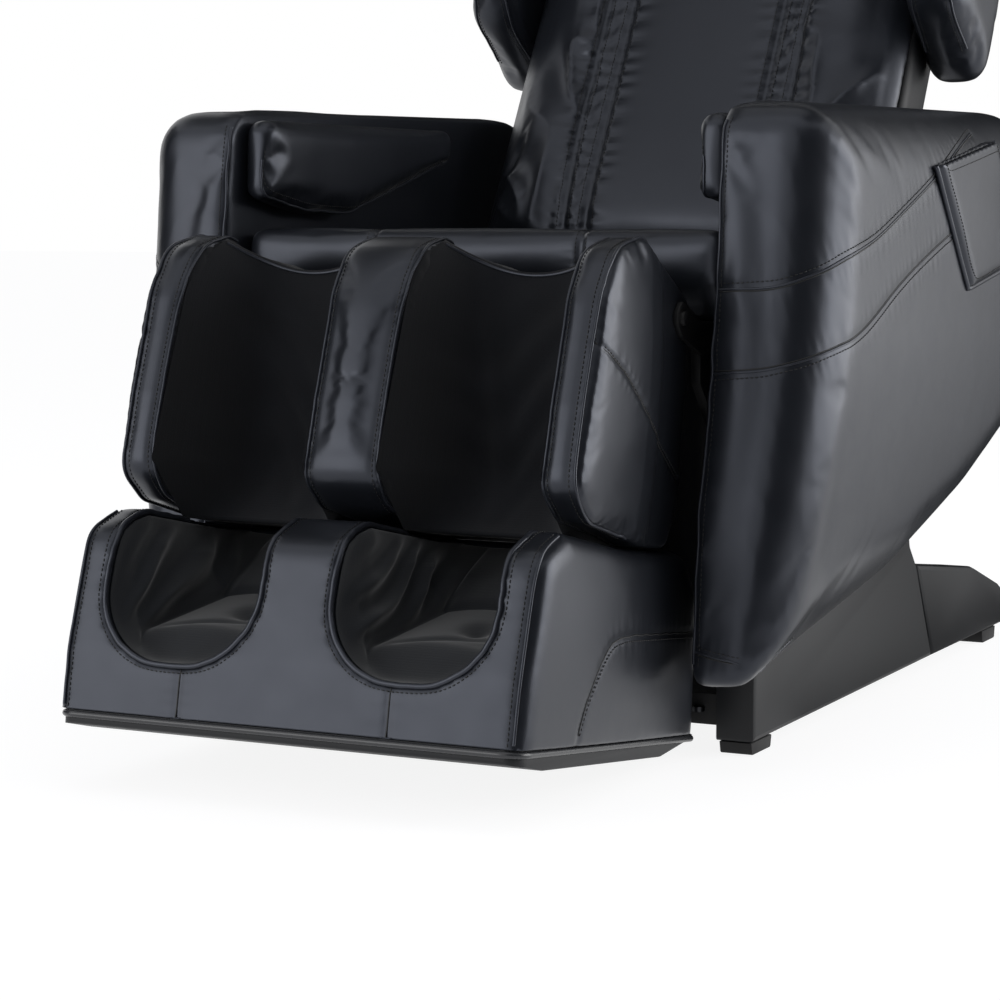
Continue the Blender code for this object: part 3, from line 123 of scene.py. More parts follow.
def flat_panel(name, place, width, height, facing):
    """Panel of the studio that faces a point."""
    mesh = bpy.data.meshes.new(name)
    corners = [(a * width / 2, b * height / 2, 0) for a, b in ((-1, -1), (1, -1), (1, 1), (-1, 1))]
    mesh.from_pydata(corners, [], [(0, 1, 2, 3)])
    panel = bpy.data.objects.new(name, mesh)
    panel.location = place
    panel.rotation_euler = (Vector(facing) - Vector(place)).to_track_quat("Z", "Y").to_euler()
    scene.collection.objects.link(panel)
    panel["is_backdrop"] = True
    return panel


FLOOR_WIDE = 60
floor = flat_panel("floor", (0, 0, -0.0005), FLOOR_WIDE, FLOOR_WIDE, (0, 0, 1))
paper = bpy.data.materials.new("pale_floor_paper")
paper.use_nodes = True
tree = paper.node_tree
tree.nodes.clear()
matt = add_node(tree, "ShaderNodeBsdfDiffuse", {"Color": tint("#f2f2f3")})
shade = add_node(tree, "ShaderNodeBsdfDiffuse", {"Color": tint("#7c7c7e")})
glow = add_node(tree, "ShaderNodeEmission", {"Color": (1, 1, 1, 1), "Strength": 0.88})
pale = add_node(tree, "ShaderNodeAddShader", {0: shade.outputs[0], 1: glow.outputs[0]})
share = background_share(tree)
floor_seen = add_node(tree, "ShaderNodeMixShader", {0: share, 1: matt.outputs[0], 2: pale.outputs[0]})
add_node(tree, "ShaderNodeOutputMaterial", {"Surface": floor_seen.outputs[0]})
floor.data.materials.append(paper)

SOFT_BOXES = (
    ("left", (-1.9, -3.4, 1.1), 3.2, 2.2, 50),
    ("right", (2.90, 1.25, 0.9), 2.6, 1.8, 58),
    ("rear", (2.5, 3.1, 0.8), 1.6, 1.5, 6),
    ("above", (0.0, -0.2, 3.6), 2.6, 2.6, 13),
)
for name, place, wide, high, power in SOFT_BOXES:
    box = bpy.data.lights.new("soft_box_" + name, "AREA")
    box.shape = "RECTANGLE"
    box.size = wide
    box.size_y = high
    box.energy = power
    lamp = bpy.data.objects.new("soft_box_" + name, box)
    lamp.location = place
    lamp.rotation_euler = (Vector((0, 0, 0.45)) - Vector(place)).to_track_quat("-Z", "Y").to_euler()
    lamp.visible_camera = False
    scene.collection.objects.link(lamp)

DARK_CARDS = {
    "right": [(4.40, 0.20, 0.0), (1.49, -4.20, 0.0), (1.49, -4.20, 3.4), (4.40, 0.20, 3.4)],
    "right_floor": [(1.07, -0.20, 0.002), (0.58, -0.93, 0.002), (1.49, -4.20, 0.002), (4.40, 0.20, 0.002)],
    "base_floor": [(0.31, -0.10, 0.003), (0.45, -0.10, 0.003), (0.45, 0.80, 0.003), (0.31, 0.80, 0.003)],
    "left": [(-4.00, -2.90, 0.0), (-4.40, 1.20, 0.0), (-4.40, 1.20, 3.4), (-4.00, -2.90, 3.4)],
    "rear_floor": [(0.45, 0.55, 0.002), (0.62, 0.55, 0.002), (1.25, 3.0, 0.002), (-2.5, 3.0, 0.002)],
    "rear": [(-2.5, 3.0, 0.0), (1.25, 3.0, 0.0), (1.25, 3.0, 3.4), (-2.5, 3.0, 3.4)],
    "ceiling": [(-3.0, -1.3, 3.8), (3.0, -1.3, 3.8), (3.0, 3.0, 3.8), (-3.0, 3.0, 3.8)],
}
felt = bpy.data.materials.new("black_felt")
felt.use_nodes = True
felt.node_tree.nodes["Principled BSDF"].inputs["Base Color"].default_value = tint("#050505")
felt.node_tree.nodes["Principled BSDF"].inputs["Roughness"].default_value = 1.0
for name, corners in DARK_CARDS.items():
    mesh = bpy.data.meshes.new("dark_card_" + name)
    mesh.from_pydata(corners, [], [(0, 1, 2, 3)])
    mesh.materials.append(felt)
    card = bpy.data.objects.new("dark_card_" + name, mesh)
    scene.collection.objects.link(card)
    card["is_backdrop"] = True
    card.visible_camera = False
    card.visible_diffuse = False
    card.visible_shadow = False
    card.visible_transmission = False


# Base rails and cross members: square steel tube welded into a low frame, powder coated black.
# The coating shows a faint orange peel and a soft sheen.
def new_material(name):
    """Material with its tree and the Principled shader that is already on the output."""
    material = bpy.data.materials.new(name)
    material.use_nodes = True
    return material, material.node_tree, material.node_tree.nodes["Principled BSDF"]


def blended(tree, share, first, second):
    """Colour between two others."""
    mix = add_node(tree, "ShaderNodeMix", {"Factor": share, "A": first, "B": second}, data_type="RGBA")
    return mix.outputs[2]


def pattern_noise(tree, pattern_mm, detail, stretch=(1, 1, 1)):
    """Noise of a real size in object space, drawn out where a stretch is under 1."""
    place = add_node(tree, "ShaderNodeTexCoord").outputs["Object"]
    scale = [1000 / pattern_mm * share for share in stretch]
    place = add_node(tree, "ShaderNodeMapping", {"Vector": place, "Scale": scale}).outputs[0]
    return add_node(tree, "ShaderNodeTexNoise", {"Vector": place, "Scale": 1.0, "Detail": detail}).outputs["Fac"]


def in_relief(tree, shader, height, strength, distance):
    """Relief from a height."""
    bump = add_node(tree, "ShaderNodeBump", {"Height": height, "Strength": strength, "Distance": distance})
    tree.links.new(bump.outputs["Normal"], shader.inputs["Normal"])


def in_range(tree, shader, value, low, high):
    """Roughness between two values."""
    dull = add_node(tree, "ShaderNodeMapRange", {"Value": value, "To Min": low, "To Max": high})
    tree.links.new(dull.outputs["Result"], shader.inputs["Roughness"])


def patterned(name, colours, dull, pattern, relief=None, **values):
    """Material with one noise pattern in its relief, and in its colour and its roughness where they have two values."""
    material, tree, shader = new_material(name)
    noise_out = pattern_noise(tree, *pattern)
    if len(colours) == 2:
        tree.links.new(blended(tree, noise_out, tint(colours[0]), tint(colours[1])), shader.inputs["Base Color"])
    else:
        shader.inputs["Base Color"].default_value = tint(colours[0])
    if len(dull) == 2:
        in_range(tree, shader, noise_out, *dull)
    else:
        shader.inputs["Roughness"].default_value = dull[0]
    if relief:
        in_relief(tree, shader, noise_out, *relief)
    for socket, value in values.items():
        shader.inputs[socket].default_value = value
    return material


SPECULAR = "Specular IOR Level"
PEEL_MM = 2.5
powder_coat = patterned(
    "black_powder_coated_steel", ["#101012"], [0.50, 0.60], (PEEL_MM, 2.0), (0.15, 0.0003), **{SPECULAR: 0.30}
)


def geometry_tree(name, sizes, finish=True):
    """Empty geometry nodes tree and its inputs: the geometry, named sizes and a material."""
    group = bpy.data.node_groups.new(name, "GeometryNodeTree")
    group.interface.new_socket("Geometry", in_out="INPUT", socket_type="NodeSocketGeometry")
    for label, size in sizes.items():
        group.interface.new_socket(label, in_out="INPUT", socket_type="NodeSocketFloat").default_value = size
    if finish:
        group.interface.new_socket("Finish", in_out="INPUT", socket_type="NodeSocketMaterial")
    group.interface.new_socket("Geometry", in_out="OUTPUT", socket_type="NodeSocketGeometry")
    return group, add_node(group, "NodeGroupInput").outputs


def smooth_shading():
    """Geometry nodes that shade a CAD solid smooth and keep its real edges sharp."""
    group, start = geometry_tree("smooth_shading", {"Edge angle": math.radians(32)}, finish=False)
    angle = add_node(group, "GeometryNodeInputMeshEdgeAngle").outputs["Unsigned Angle"]
    sharp = add_node(group, "FunctionNodeCompare", {0: angle, 1: start["Edge angle"]}, operation="GREATER_THAN")
    faces = add_node(group, "GeometryNodeSetShadeSmooth", {0: start["Geometry"], "Shade Smooth": True}, domain="FACE")
    edge_inputs = {0: faces.outputs[0], "Selection": sharp.outputs[0], "Shade Smooth": False}
    edges = add_node(group, "GeometryNodeSetShadeSmooth", edge_inputs, domain="EDGE")
    add_node(group, "NodeGroupOutput", {"Geometry": edges.outputs[0]})
    return group


shading = smooth_shading()


def dress(material, *names, edge=0.0):
    """Gives CAD nodes a material and smooth shading, with a small moulded or broken edge."""
    for name in names:
        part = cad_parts[name]
        part.data.materials.clear()
        part.data.materials.append(material)
        part.modifiers.new("weld", "WELD").merge_threshold = 0.00002
        if edge:
            bevel = part.modifiers.new("edge", "BEVEL")
            bevel.width = edge
            bevel.segments = 2
            bevel.limit_method = "ANGLE"
            bevel.angle_limit = math.radians(35)
            bevel.use_clamp_overlap = True
        part.modifiers.new("shading", "NODES").node_group = shading


dress(powder_coat, "base_rail_left", "base_rail_right", "base_cross_front", "base_cross_rear", edge=0.001)
dress(powder_coat, "leg_pin_left", "leg_pin_right", edge=0.0006)

# Base covers and rear pods: satin black ABS mouldings that snap over the rails.
# The mould was spark eroded, which leaves a fine even texture and a dull broad highlight.
moulded_abs, tree, shader = new_material("satin_black_moulded_abs")
SPARK_MM = 1.4  # the real texture is about 0.3 mm, drawn coarser so that it shows
FLOW_MM = 166.7
in_relief(tree, shader, pattern_noise(tree, SPARK_MM, 3.0), 0.10, 0.0002)
broad = pattern_noise(tree, FLOW_MM, 3.0)
in_range(tree, shader, broad, 0.46, 0.56)
tree.links.new(blended(tree, broad, tint("#17181a"), tint("#1e1f22")), shader.inputs["Base Color"])
shader.inputs[SPECULAR].default_value = 0.30
dress(moulded_abs, "base_cover_left", "base_cover_right", edge=0.006)
dress(moulded_abs, "rear_pod_left", "rear_pod_right", edge=0.0015)

# Feet: blocks of black rubber under the four ends of the base.
# They are matt from the mould, with a faint cloudy bloom.
BLOOM_MM = 11.11
foot_rubber = patterned("matt_black_rubber", ["#0c0c0d", "#1b1b1c"], [0.78], (BLOOM_MM, 4.0), (0.2, 0.0004))
dress(foot_rubber, "front_foot_left", "front_foot_right", "rear_foot_left", "rear_foot_right", edge=0.001)

# Housings: the control box and the bodies of the three actuators, plain black ABS from a coarser mould
# that breaks up the highlight.
COARSE_MM = 1.818
housing_abs = patterned("matt_black_housing_abs", ["#17171a"], [0.5, 0.62], (COARSE_MM, 3.0), (0.2, 0.0003))
dress(housing_abs, "control_box", "tilt_actuator_body", "leg_actuator_body", "recline_actuator_body", edge=0.0015)

# Shafts and actuator rods: ground steel bar, left bare.
# Grinding leaves fine rings that stretch the highlight along the bar.
RING_MM = 1.111
RINGS_ROUND = (1, 1 / 15, 1 / 15)
ground_steel = patterned("ground_steel_bar", ["#b9babd"], [0.20, 0.36], (RING_MM, 2.0, RINGS_ROUND), Metallic=1.0)
dress(ground_steel, "tilt_shaft", "recline_shaft")
dress(ground_steel, "tilt_actuator_rod", "leg_actuator_rod", "recline_actuator_rod")

# Bolts of the base: socket-head screws, blackened, through the ends of both cross members.
# The oxide is a dark half gloss, uneven from the bath.
BOLT_HEAD = 0.0065
BOLT_HIGH = 0.005
BOLT_X = 0.235
OXIDE_MM = 1.5
black_oxide = patterned("black_oxide_steel_screw", ["#3a3b3e"], [0.30, 0.45], (OXIDE_MM, 2.0), Metallic=1.0)


def bolt_tree():
    """Geometry nodes that set a socket-head screw on each face, along the face's normal."""
    group, start = geometry_tree("socket_head_screws", {"Head radius": BOLT_HEAD, "Head height": BOLT_HIGH})
    wide, high = start["Head radius"], start["Head height"]
    head = add_node(group, "GeometryNodeMeshCylinder", {"Vertices": 24, "Radius": wide, "Depth": high})
    narrow = add_node(group, "ShaderNodeMath", {0: wide, 1: 0.55}, operation="MULTIPLY").outputs[0]
    socket = add_node(group, "GeometryNodeMeshCylinder", {"Vertices": 6, "Radius": narrow, "Depth": high})
    half = add_node(group, "ShaderNodeMath", {0: high, 1: 0.5}, operation="MULTIPLY")
    up = add_node(group, "ShaderNodeCombineXYZ", {"Z": half.outputs[0]}).outputs[0]
    raised = add_node(group, "GeometryNodeTransform", {"Geometry": socket.outputs["Mesh"], "Translation": up})
    drilled = add_node(group, "GeometryNodeMeshBoolean", operation="DIFFERENCE")
    group.links.new(head.outputs["Mesh"], drilled.inputs["Mesh 1"])
    group.links.new(raised.outputs[0], drilled.inputs["Mesh 2"])
    normal = add_node(group, "GeometryNodeInputNormal").outputs["Normal"]
    turned = add_node(group, "FunctionNodeAlignRotationToVector", {"Vector": normal}, axis="Z").outputs[0]
    points = add_node(group, "GeometryNodeMeshToPoints", {"Mesh": start["Geometry"]}, mode="FACES").outputs[0]
    inputs = {"Points": points, "Instance": drilled.outputs[0], "Rotation": turned}
    placed = add_node(group, "GeometryNodeInstanceOnPoints", inputs)
    real = add_node(group, "GeometryNodeRealizeInstances", {0: placed.outputs[0]}).outputs[0]
    finished = add_node(group, "GeometryNodeSetMaterial", {"Geometry": real, "Material": start["Finish"]})
    add_node(group, "NodeGroupOutput", {"Geometry": finished.outputs[0]})
    return group


def run_tree(obj, group, **sizes):
    """Runs a geometry nodes tree on an object, by the tree's input names, and keeps a plain mesh."""
    modifier = obj.modifiers.new(group.name, "NODES")
    modifier.node_group = group
    for item in group.interface.items_tree:
        if item.in_out == "INPUT" and item.name in sizes:
            modifier[item.identifier] = sizes[item.name]
    settle(obj)


def settle(obj):
    """Turns an object's modifiers into a plain mesh."""
    bpy.context.view_layer.update()
    graph = bpy.context.evaluated_depsgraph_get()
    mesh = bpy.data.meshes.new_from_object(obj.evaluated_get(graph), depsgraph=graph)
    obj.modifiers.clear()
    obj.data = mesh


def new_object(name, points, edges=(), faces=()):
    mesh = bpy.data.meshes.new(name)
    mesh.from_pydata([tuple(point) for point in points], list(edges), list(faces))
    made = bpy.data.objects.new(name, mesh)
    scene.collection.objects.link(made)
    return made


cross_low, cross_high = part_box("base_cross_front")
rear_low, rear_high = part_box("base_cross_rear")
corners, plates = [], []
for x in (-BOLT_X, BOLT_X):
    front_z, rear_z = (cross_low[2] + cross_high[2]) / 2, (rear_low[2] + rear_high[2]) / 2
    for y, z, facing in ((cross_low[1], front_z, -1), (rear_high[1], rear_z, 1)):
        plates.append(tuple(range(len(corners), len(corners) + 4)))
        y += facing * BOLT_HIGH / 2
        corners += [(x + facing * a * 0.001, y, z + b * 0.001) for a, b in ((1, -1), (-1, -1), (-1, 1), (1, 1))]
base_bolts = new_object("base_bolts", corners, faces=plates)
run_tree(base_bolts, bolt_tree(), Finish=black_oxide)
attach(base_bolts, "base")

# Seat frame, calf tray, foot slide, back frame and guide rails: pressed and welded steel,
# powder coated like the base.
dress(powder_coat, "seat_frame", "calf_tray", "foot_slide", "back_frame", edge=0.0008)
dress(powder_coat, "guide_rail_left", "guide_rail_right", edge=0.0008)

# Massage carriage and its rocker arms: matt black mouldings, like the housings.
# The carriage climbs the guide rails between the back cushion and the back shell.
dress(housing_abs, "massage_carriage", "rocker_arm_left", "rocker_arm_right", edge=0.001)

# Massage rollers and foot rollers: turned from grey acetal.
# It has a waxy half gloss over fine tool lines.
TURNING_MM = 1.2
TURNED = (1, 0.036, 0.036)
acetal = patterned("turned_grey_acetal", ["#5d5e61"], [0.34, 0.46], (TURNING_MM, 2.0, TURNED), (0.1, 0.0002))
dress(acetal, *[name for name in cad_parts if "roller" in name], edge=0.0008)

# Leather of the upholstery: charcoal polyurethane leather, embossed with a fine grain on a knitted backing.
# It gives a soft half gloss, with a low cell pattern and slow creases. Its ridges are slightly paler: a painted
# highlight.
leather, tree, shader = new_material("charcoal_embossed_pu_leather")
place = add_node(tree, "ShaderNodeTexCoord").outputs["Object"]
GRAIN_MM = 1.8  # the real grain is near 0.6 mm, drawn coarser so that it shows
CREASE_MM = 45.0
SHADE_MM = 200.0
grain = add_node(tree, "ShaderNodeTexVoronoi", {"Vector": place, "Scale": 1000 / GRAIN_MM}, feature="SMOOTH_F1")
crease_inputs = {"Vector": place, "Scale": 1000 / CREASE_MM, "Detail": 5.0, "Roughness": 0.55}
crease = add_node(tree, "ShaderNodeTexNoise", crease_inputs).outputs["Fac"]
creased = add_node(tree, "ShaderNodeBump", {"Height": crease, "Strength": 0.06, "Distance": 0.003}).outputs["Normal"]
grain_inputs = {"Height": grain.outputs["Distance"], "Strength": 0.03, "Distance": 0.0004, "Normal": creased}
relief = add_node(tree, "ShaderNodeBump", grain_inputs)
dull_inputs = {"Value": crease, "From Min": 0.3, "From Max": 0.7, "To Min": 0.31, "To Max": 0.38}
dull = add_node(tree, "ShaderNodeMapRange", dull_inputs)
dye = blended(tree, pattern_noise(tree, SHADE_MM, 2.0), tint("#14161a"), tint("#1a1c21"))
# Painted highlight: convex ridges, welts and rounded edges are lightened by the mesh's pointiness.
ridge = add_node(tree, "ShaderNodeNewGeometry").outputs["Pointiness"]
ridge_highlight = add_node(tree, "ShaderNodeMapRange", {"Value": ridge, "From Min": 0.51, "From Max": 0.60, "To Max": 0.35})
dye_and_painted_highlight = blended(tree, ridge_highlight.outputs["Result"], dye, tint("#3a3c44"))
tree.links.new(relief.outputs["Normal"], shader.inputs["Normal"])
tree.links.new(dull.outputs["Result"], shader.inputs["Roughness"])
tree.links.new(dye_and_painted_highlight, shader.inputs["Base Color"])
shader.inputs["IOR"].default_value = 1.5
shader.inputs["Specular Tint"].default_value = (0.80, 0.85, 1.0, 1.0)

# Thread of the visible stitching: bonded polyester, close to black, with a slight shine along each stitch.
# The tools that shape, fill, sew and finish every padded piece follow it.
PLY_MM = 0.8
polyester = patterned("black_bonded_polyester_thread", ["#060607", "#141517"], [0.55], (PLY_MM, 1.0))

CHAIR_MIDDLE = 0.290
STITCH_PITCH = 0.0048
STITCH_LONG = 0.0034
STITCH_THICK = 0.0013
STITCH_LIFT = 0.0002
WELT_LIFT = 0.0003
WELT_THICK = 0.0032
THREAD_STEP = 0.003
CLOTH_STEPS = 20
SIDES = (("left", 1), ("right", -1))


def path_tree(name, sizes, build):
    """Geometry nodes tree that starts from polylines and ends in a plain mesh with its material."""
    group, start = geometry_tree(name, sizes)
    curve = add_node(group, "GeometryNodeMeshToCurve", {0: start["Geometry"]})
    made = build(group, start, curve.outputs[0])
    real = add_node(group, "GeometryNodeRealizeInstances", {0: made})
    smooth = add_node(group, "GeometryNodeSetShadeSmooth", {0: real.outputs[0]}).outputs[0]
    finished = add_node(group, "GeometryNodeSetMaterial", {"Geometry": smooth, "Material": start["Finish"]})
    add_node(group, "NodeGroupOutput", {"Geometry": finished.outputs[0]})
    return group


def sewn_stitches(group, start, curve):
    """One slim bead of thread for each stitch along a row."""
    spots = add_node(group, "GeometryNodeResampleCurve", {"Curve": curve, "Length": start["Pitch"]}, mode="LENGTH")
    bead = add_node(group, "GeometryNodeMeshUVSphere", {"Segments": 6, "Rings": 4, "Radius": 0.5}).outputs[0]
    size = add_node(group, "ShaderNodeCombineXYZ", {0: start["Thick"], 1: start["Thick"], 2: start["Long"]}).outputs[0]
    tangent = add_node(group, "GeometryNodeInputTangent").outputs[0]
    turned = add_node(group, "FunctionNodeAlignRotationToVector", {"Vector": tangent}, axis="Z").outputs[0]
    inputs = {"Points": spots.outputs[0], "Instance": bead, "Rotation": turned, "Scale": size}
    return add_node(group, "GeometryNodeInstanceOnPoints", inputs).outputs[0]


def piped_welt(group, start, curve):
    """Round welt of folded leather along a seam."""
    half = add_node(group, "ShaderNodeMath", {0: start["Thick"], 1: 0.5}, operation="MULTIPLY").outputs[0]
    ring = add_node(group, "GeometryNodeCurvePrimitiveCircle", {"Resolution": 10, "Radius": half}, mode="RADIUS")
    inputs = {"Curve": curve, "Profile Curve": ring.outputs[0], "Fill Caps": True}
    return add_node(group, "GeometryNodeCurveToMesh", inputs).outputs[0]


stitch_sizes = {"Pitch": STITCH_PITCH, "Long": STITCH_LONG, "Thick": STITCH_THICK}
stitch_tree = path_tree("sewn_stitches", stitch_sizes, sewn_stitches)
welt_tree = path_tree("piped_welt", {"Thick": WELT_THICK}, piped_welt)


def trim(name, body, group, paths, material, slot="charcoal_leather", **sizes):
    """Stitches or welts of one body, made in one mesh."""
    points, edges = [], []
    for path in paths:
        edges += [(len(points) + k, len(points) + k + 1) for k in range(len(path) - 1)]
        points += [tuple(point) for point in path]
    made = new_object(name, points, edges)
    run_tree(made, group, Finish=material, **sizes)
    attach(made, body)


def in_chair(x, y, z):
    """Point of the seat group: y runs back from the front of the seat."""
    return Vector((x, y - CHAIR_MIDDLE, z))


def drawn_in(corners, by):
    """Corners (a, b, radius) moved in by a distance, whichever way round they run."""
    area = sum(corners[i - 1][0] * corners[i][1] - corners[i][0] * corners[i - 1][1] for i in range(len(corners)))
    turn = math.copysign(1, area)
    result = []
    for i, (a, b, radius) in enumerate(corners):
        here = Vector((a, b))
        first = (here - Vector(corners[i - 1][:2])).normalized()
        second = (Vector(corners[(i + 1) % len(corners)][:2]) - here).normalized()
        normal_1 = Vector((-first.y, first.x)) * turn
        normal_2 = Vector((-second.y, second.x)) * turn
        moved = here + by * (normal_1 + normal_2) / max(1 + normal_1.dot(normal_2), 0.4)
        bend = math.copysign(1, first.x * second.y - first.y * second.x) * turn
        result.append((moved.x, moved.y, max(radius - by * bend, 0.0005)))
    return result


def rounded(corners, steps=8):
    """Outline through corners (a, b, radius), each rounded off, as a function of how far it is drawn in."""

    def outline(by):
        points = []
        moved = drawn_in(corners, by)
        for i, (a, b, radius) in enumerate(moved):
            corner = Vector((a, b))
            before = Vector(moved[i - 1][:2]) - corner
            after = Vector(moved[(i + 1) % len(moved)][:2]) - corner
            reach = min(radius / math.tan(before.angle(after) / 2), 0.45 * before.length, 0.45 * after.length)
            start = corner + reach * before.normalized()
            end = corner + reach * after.normalized()
            for k in range(steps + 1):
                t = k / steps
                points.append(tuple((1 - t) ** 2 * start + 2 * t * (1 - t) * corner + t**2 * end))
        return points

    return outline


def loft(name, outline, stations, place):
    """Closed solid across the chair through one side outline: stations are (x, how far drawn in)."""
    shape = bmesh.new()
    rings = [[shape.verts.new(place(x, a, b)) for a, b in outline(by)] for x, by in stations]
    for first, second in zip(rings, rings[1:]):
        for i in range(len(first)):
            shape.faces.new((first[i - 1], first[i], second[i], second[i - 1]))
    shape.faces.new(rings[0])
    shape.faces.new(rings[-1][::-1])
    return closed_object(name, shape)


def closed_object(name, shape):
    """Object from a closed shape, with its faces pointing outwards."""
    bmesh.ops.recalc_face_normals(shape, faces=shape.faces)
    if shape.calc_volume(signed=True) < 0:
        bmesh.ops.reverse_faces(shape, faces=shape.faces)
    made = new_object(name, [])
    shape.to_mesh(made.data)
    shape.free()
    return made


def soft_edges(low, high, radius, steps=6):
    """Stations from one side to the other with both edges rounded."""
    turns = [math.radians(90 * k / steps) for k in range(steps + 1)]
    first = [(low + radius * (1 - math.cos(t)), radius * (1 - math.sin(t))) for t in turns]
    return first + [(high + low - x, by) for x, by in first[::-1]]


def sheet_solid(name, us, vs, front, back):
    """Closed solid between a front and a back surface over one grid."""
    shape = bmesh.new()
    grids = [[[shape.verts.new(side(u, v)) for v in vs] for u in us] for side in (front, back)]
    for grid in grids:
        for i in range(len(us) - 1):
            for j in range(len(vs) - 1):
                shape.faces.new((grid[i][j], grid[i + 1][j], grid[i + 1][j + 1], grid[i][j + 1]))
    last_u, last_v = len(us) - 1, len(vs) - 1
    ring = [(i, 0) for i in range(last_u)] + [(last_u, j) for j in range(last_v)]
    ring += [(i, last_v) for i in range(last_u, 0, -1)] + [(0, j) for j in range(last_v, 0, -1)]
    for k, (i, j) in enumerate(ring):
        m, n = ring[k - 1]
        shape.faces.new((grids[0][m][n], grids[0][i][j], grids[1][i][j], grids[1][m][n]))
    return closed_object(name, shape)


def soften(obj, voxel, rounds):
    """Even mesh of one skin over a solid, with its edges eased like foam under leather."""
    remesh = obj.modifiers.new("skin", "REMESH")
    remesh.mode = "VOXEL"
    remesh.voxel_size = voxel
    ease = obj.modifiers.new("ease", "SMOOTH")
    ease.factor = 0.5
    ease.iterations = rounds
    settle(obj)


def spots_of(obj):
    spots = np.empty(len(obj.data.vertices) * 3)
    obj.data.vertices.foreach_get("co", spots)
    return spots.reshape(-1, 3)


def move_to(obj, spots):
    obj.data.vertices.foreach_set("co", np.ascontiguousarray(spots).ravel())
    obj.data.update()


def swell(obj, cap, held):
    """Fills a cover by a short cloth simulation. Points where held is true stay, the rest move up to a cap."""
    before = spots_of(obj)
    cloth = obj.modifiers.new("fill", "CLOTH")
    cloth.settings.quality = 4
    cloth.settings.mass = 0.4
    cloth.settings.tension_stiffness = 12
    cloth.settings.compression_stiffness = 12
    cloth.settings.bending_stiffness = 0.6
    cloth.settings.use_pressure = True
    cloth.settings.uniform_pressure_force = 4.0
    cloth.settings.effector_weights.gravity = 0
    cloth.collision_settings.use_collision = False
    cloth.point_cache.frame_start = 1
    cloth.point_cache.frame_end = CLOTH_STEPS
    pins = obj.vertex_groups.new(name="held")
    pins.add([int(i) for i in np.flatnonzero(held(before))], 1.0, "REPLACE")
    cloth.settings.vertex_group_mass = "held"
    for step in range(1, CLOTH_STEPS + 1):
        scene.frame_set(step)
    settle(obj)
    scene.frame_set(1)
    obj.vertex_groups.clear()
    moved = spots_of(obj) - before
    far = np.linalg.norm(moved, axis=1, keepdims=True) + 1e-9
    move_to(obj, before + moved * (cap * np.tanh(far / cap) / far))


def refine(obj):
    """One subdivision, kept in the mesh."""
    finer = obj.modifiers.new("finer", "SUBSURF")
    finer.levels = finer.render_levels = 1
    settle(obj)


def thread(points, step=THREAD_STEP):
    """Even polyline on a smooth curve through a few points."""
    points = np.array([tuple(point) for point in points], float)
    ends = np.vstack([2 * points[0] - points[1], points, 2 * points[-1] - points[-2]])
    share = np.linspace(0, 1, 24, endpoint=False)[:, None]
    fine = []
    for a, b, c, d in zip(ends, ends[1:], ends[2:], ends[3:]):
        curve = 2 * b + (c - a) * share + (2 * a - 5 * b + 4 * c - d) * share**2
        fine.append((curve + (3 * b - a - 3 * c + d) * share**3) / 2)
    fine = np.vstack(fine + [points[-1:]])
    run = np.concatenate([[0], np.cumsum(np.linalg.norm(np.diff(fine, axis=0), axis=1))])
    even = np.linspace(0, run[-1], max(3, int(run[-1] / step)) + 1)
    return np.stack([np.interp(even, run, fine[:, k]) for k in range(3)], 1)


def surface_of(obj):
    return BVHTree.FromPolygons([v.co for v in obj.data.vertices], [p.vertices for p in obj.data.polygons])


def laid_on(obj, paths, lift):
    """Paths dropped on a surface, and raised from it by a distance."""
    surface = surface_of(obj)
    result = []
    for path in paths:
        laid = []
        for point in path:
            spot, normal, _, _ = surface.find_nearest(Vector(point))
            laid.append(tuple(spot + normal * lift))
        laid = np.array(laid)
        for _ in range(2):
            laid[1:-1] = 0.25 * laid[:-2] + 0.5 * laid[1:-1] + 0.25 * laid[2:]
        result.append(laid)
    return result


def sew(obj, paths, depth=0.002, width=0.005, pucker=0.00018, pitch=0.013):
    """Draws a cover in along its seams, with the small gathers that the stitches leave beside them."""
    samples = np.vstack(paths)
    run = np.concatenate([np.arange(len(path)) * THREAD_STEP + 0.37 * k for k, path in enumerate(paths)])
    lookup = kdtree.KDTree(len(samples))
    for i, point in enumerate(samples):
        lookup.insert(point, i)
    lookup.balance()
    spots = spots_of(obj)
    normals = np.empty(len(spots) * 3)
    obj.data.vertex_normals.foreach_get("vector", normals)
    near = [lookup.find(spot) for spot in spots]
    far = np.array([hit[2] for hit in near])
    along = run[[hit[1] for hit in near]]
    groove = np.exp(-((far / width) ** 2))
    wave = np.sin(2 * np.pi * along / pitch + 1.7 * np.sin(2 * np.pi * along / (5.3 * pitch)))
    gather = pucker * wave * np.exp(-((far / (3.2 * width)) ** 2)) * (1 - groove)
    move_to(obj, spots + normals.reshape(-1, 3) * (gather - depth * groove)[:, None])


def stuff(obj, voxel, rounds, cap, held):
    """Turns a plain solid into a filled cover: an even skin, eased, swollen where it isn't held, then refined."""
    soften(obj, voxel, rounds)
    swell(obj, cap, held)
    refine(obj)


def upholster(obj, body, node, material=leather):
    """Finishes a padded piece: its cover, the body that it rides on and the CAD solid that it stands for."""
    obj.data.materials.clear()
    obj.data.materials.append(material)
    obj.data.shade_smooth()
    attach(obj, body)
    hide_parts(node)


# Seat cushion: foam block under a leather cover, crowned in the middle, flat where it rests on the seat pan.
# Two double-stitched seams run from its front to its rear.
CUSHION_HALF = 0.263
CUSHION_FRONT_Y = 0.0998
CUSHION_DEEP = 0.3435
cushion_grid = (np.linspace(-1, 1, 41), np.linspace(0, 1, 27))


def cushion_top(u, v):
    crown = (1 - abs(u) ** 4) * (1 - abs(2 * v - 1) ** 6)
    height = 0.486 - 0.022 * v + 0.028 * crown**0.5
    return in_chair(u * (CUSHION_HALF - 0.004), CUSHION_FRONT_Y + CUSHION_DEEP * v, height)


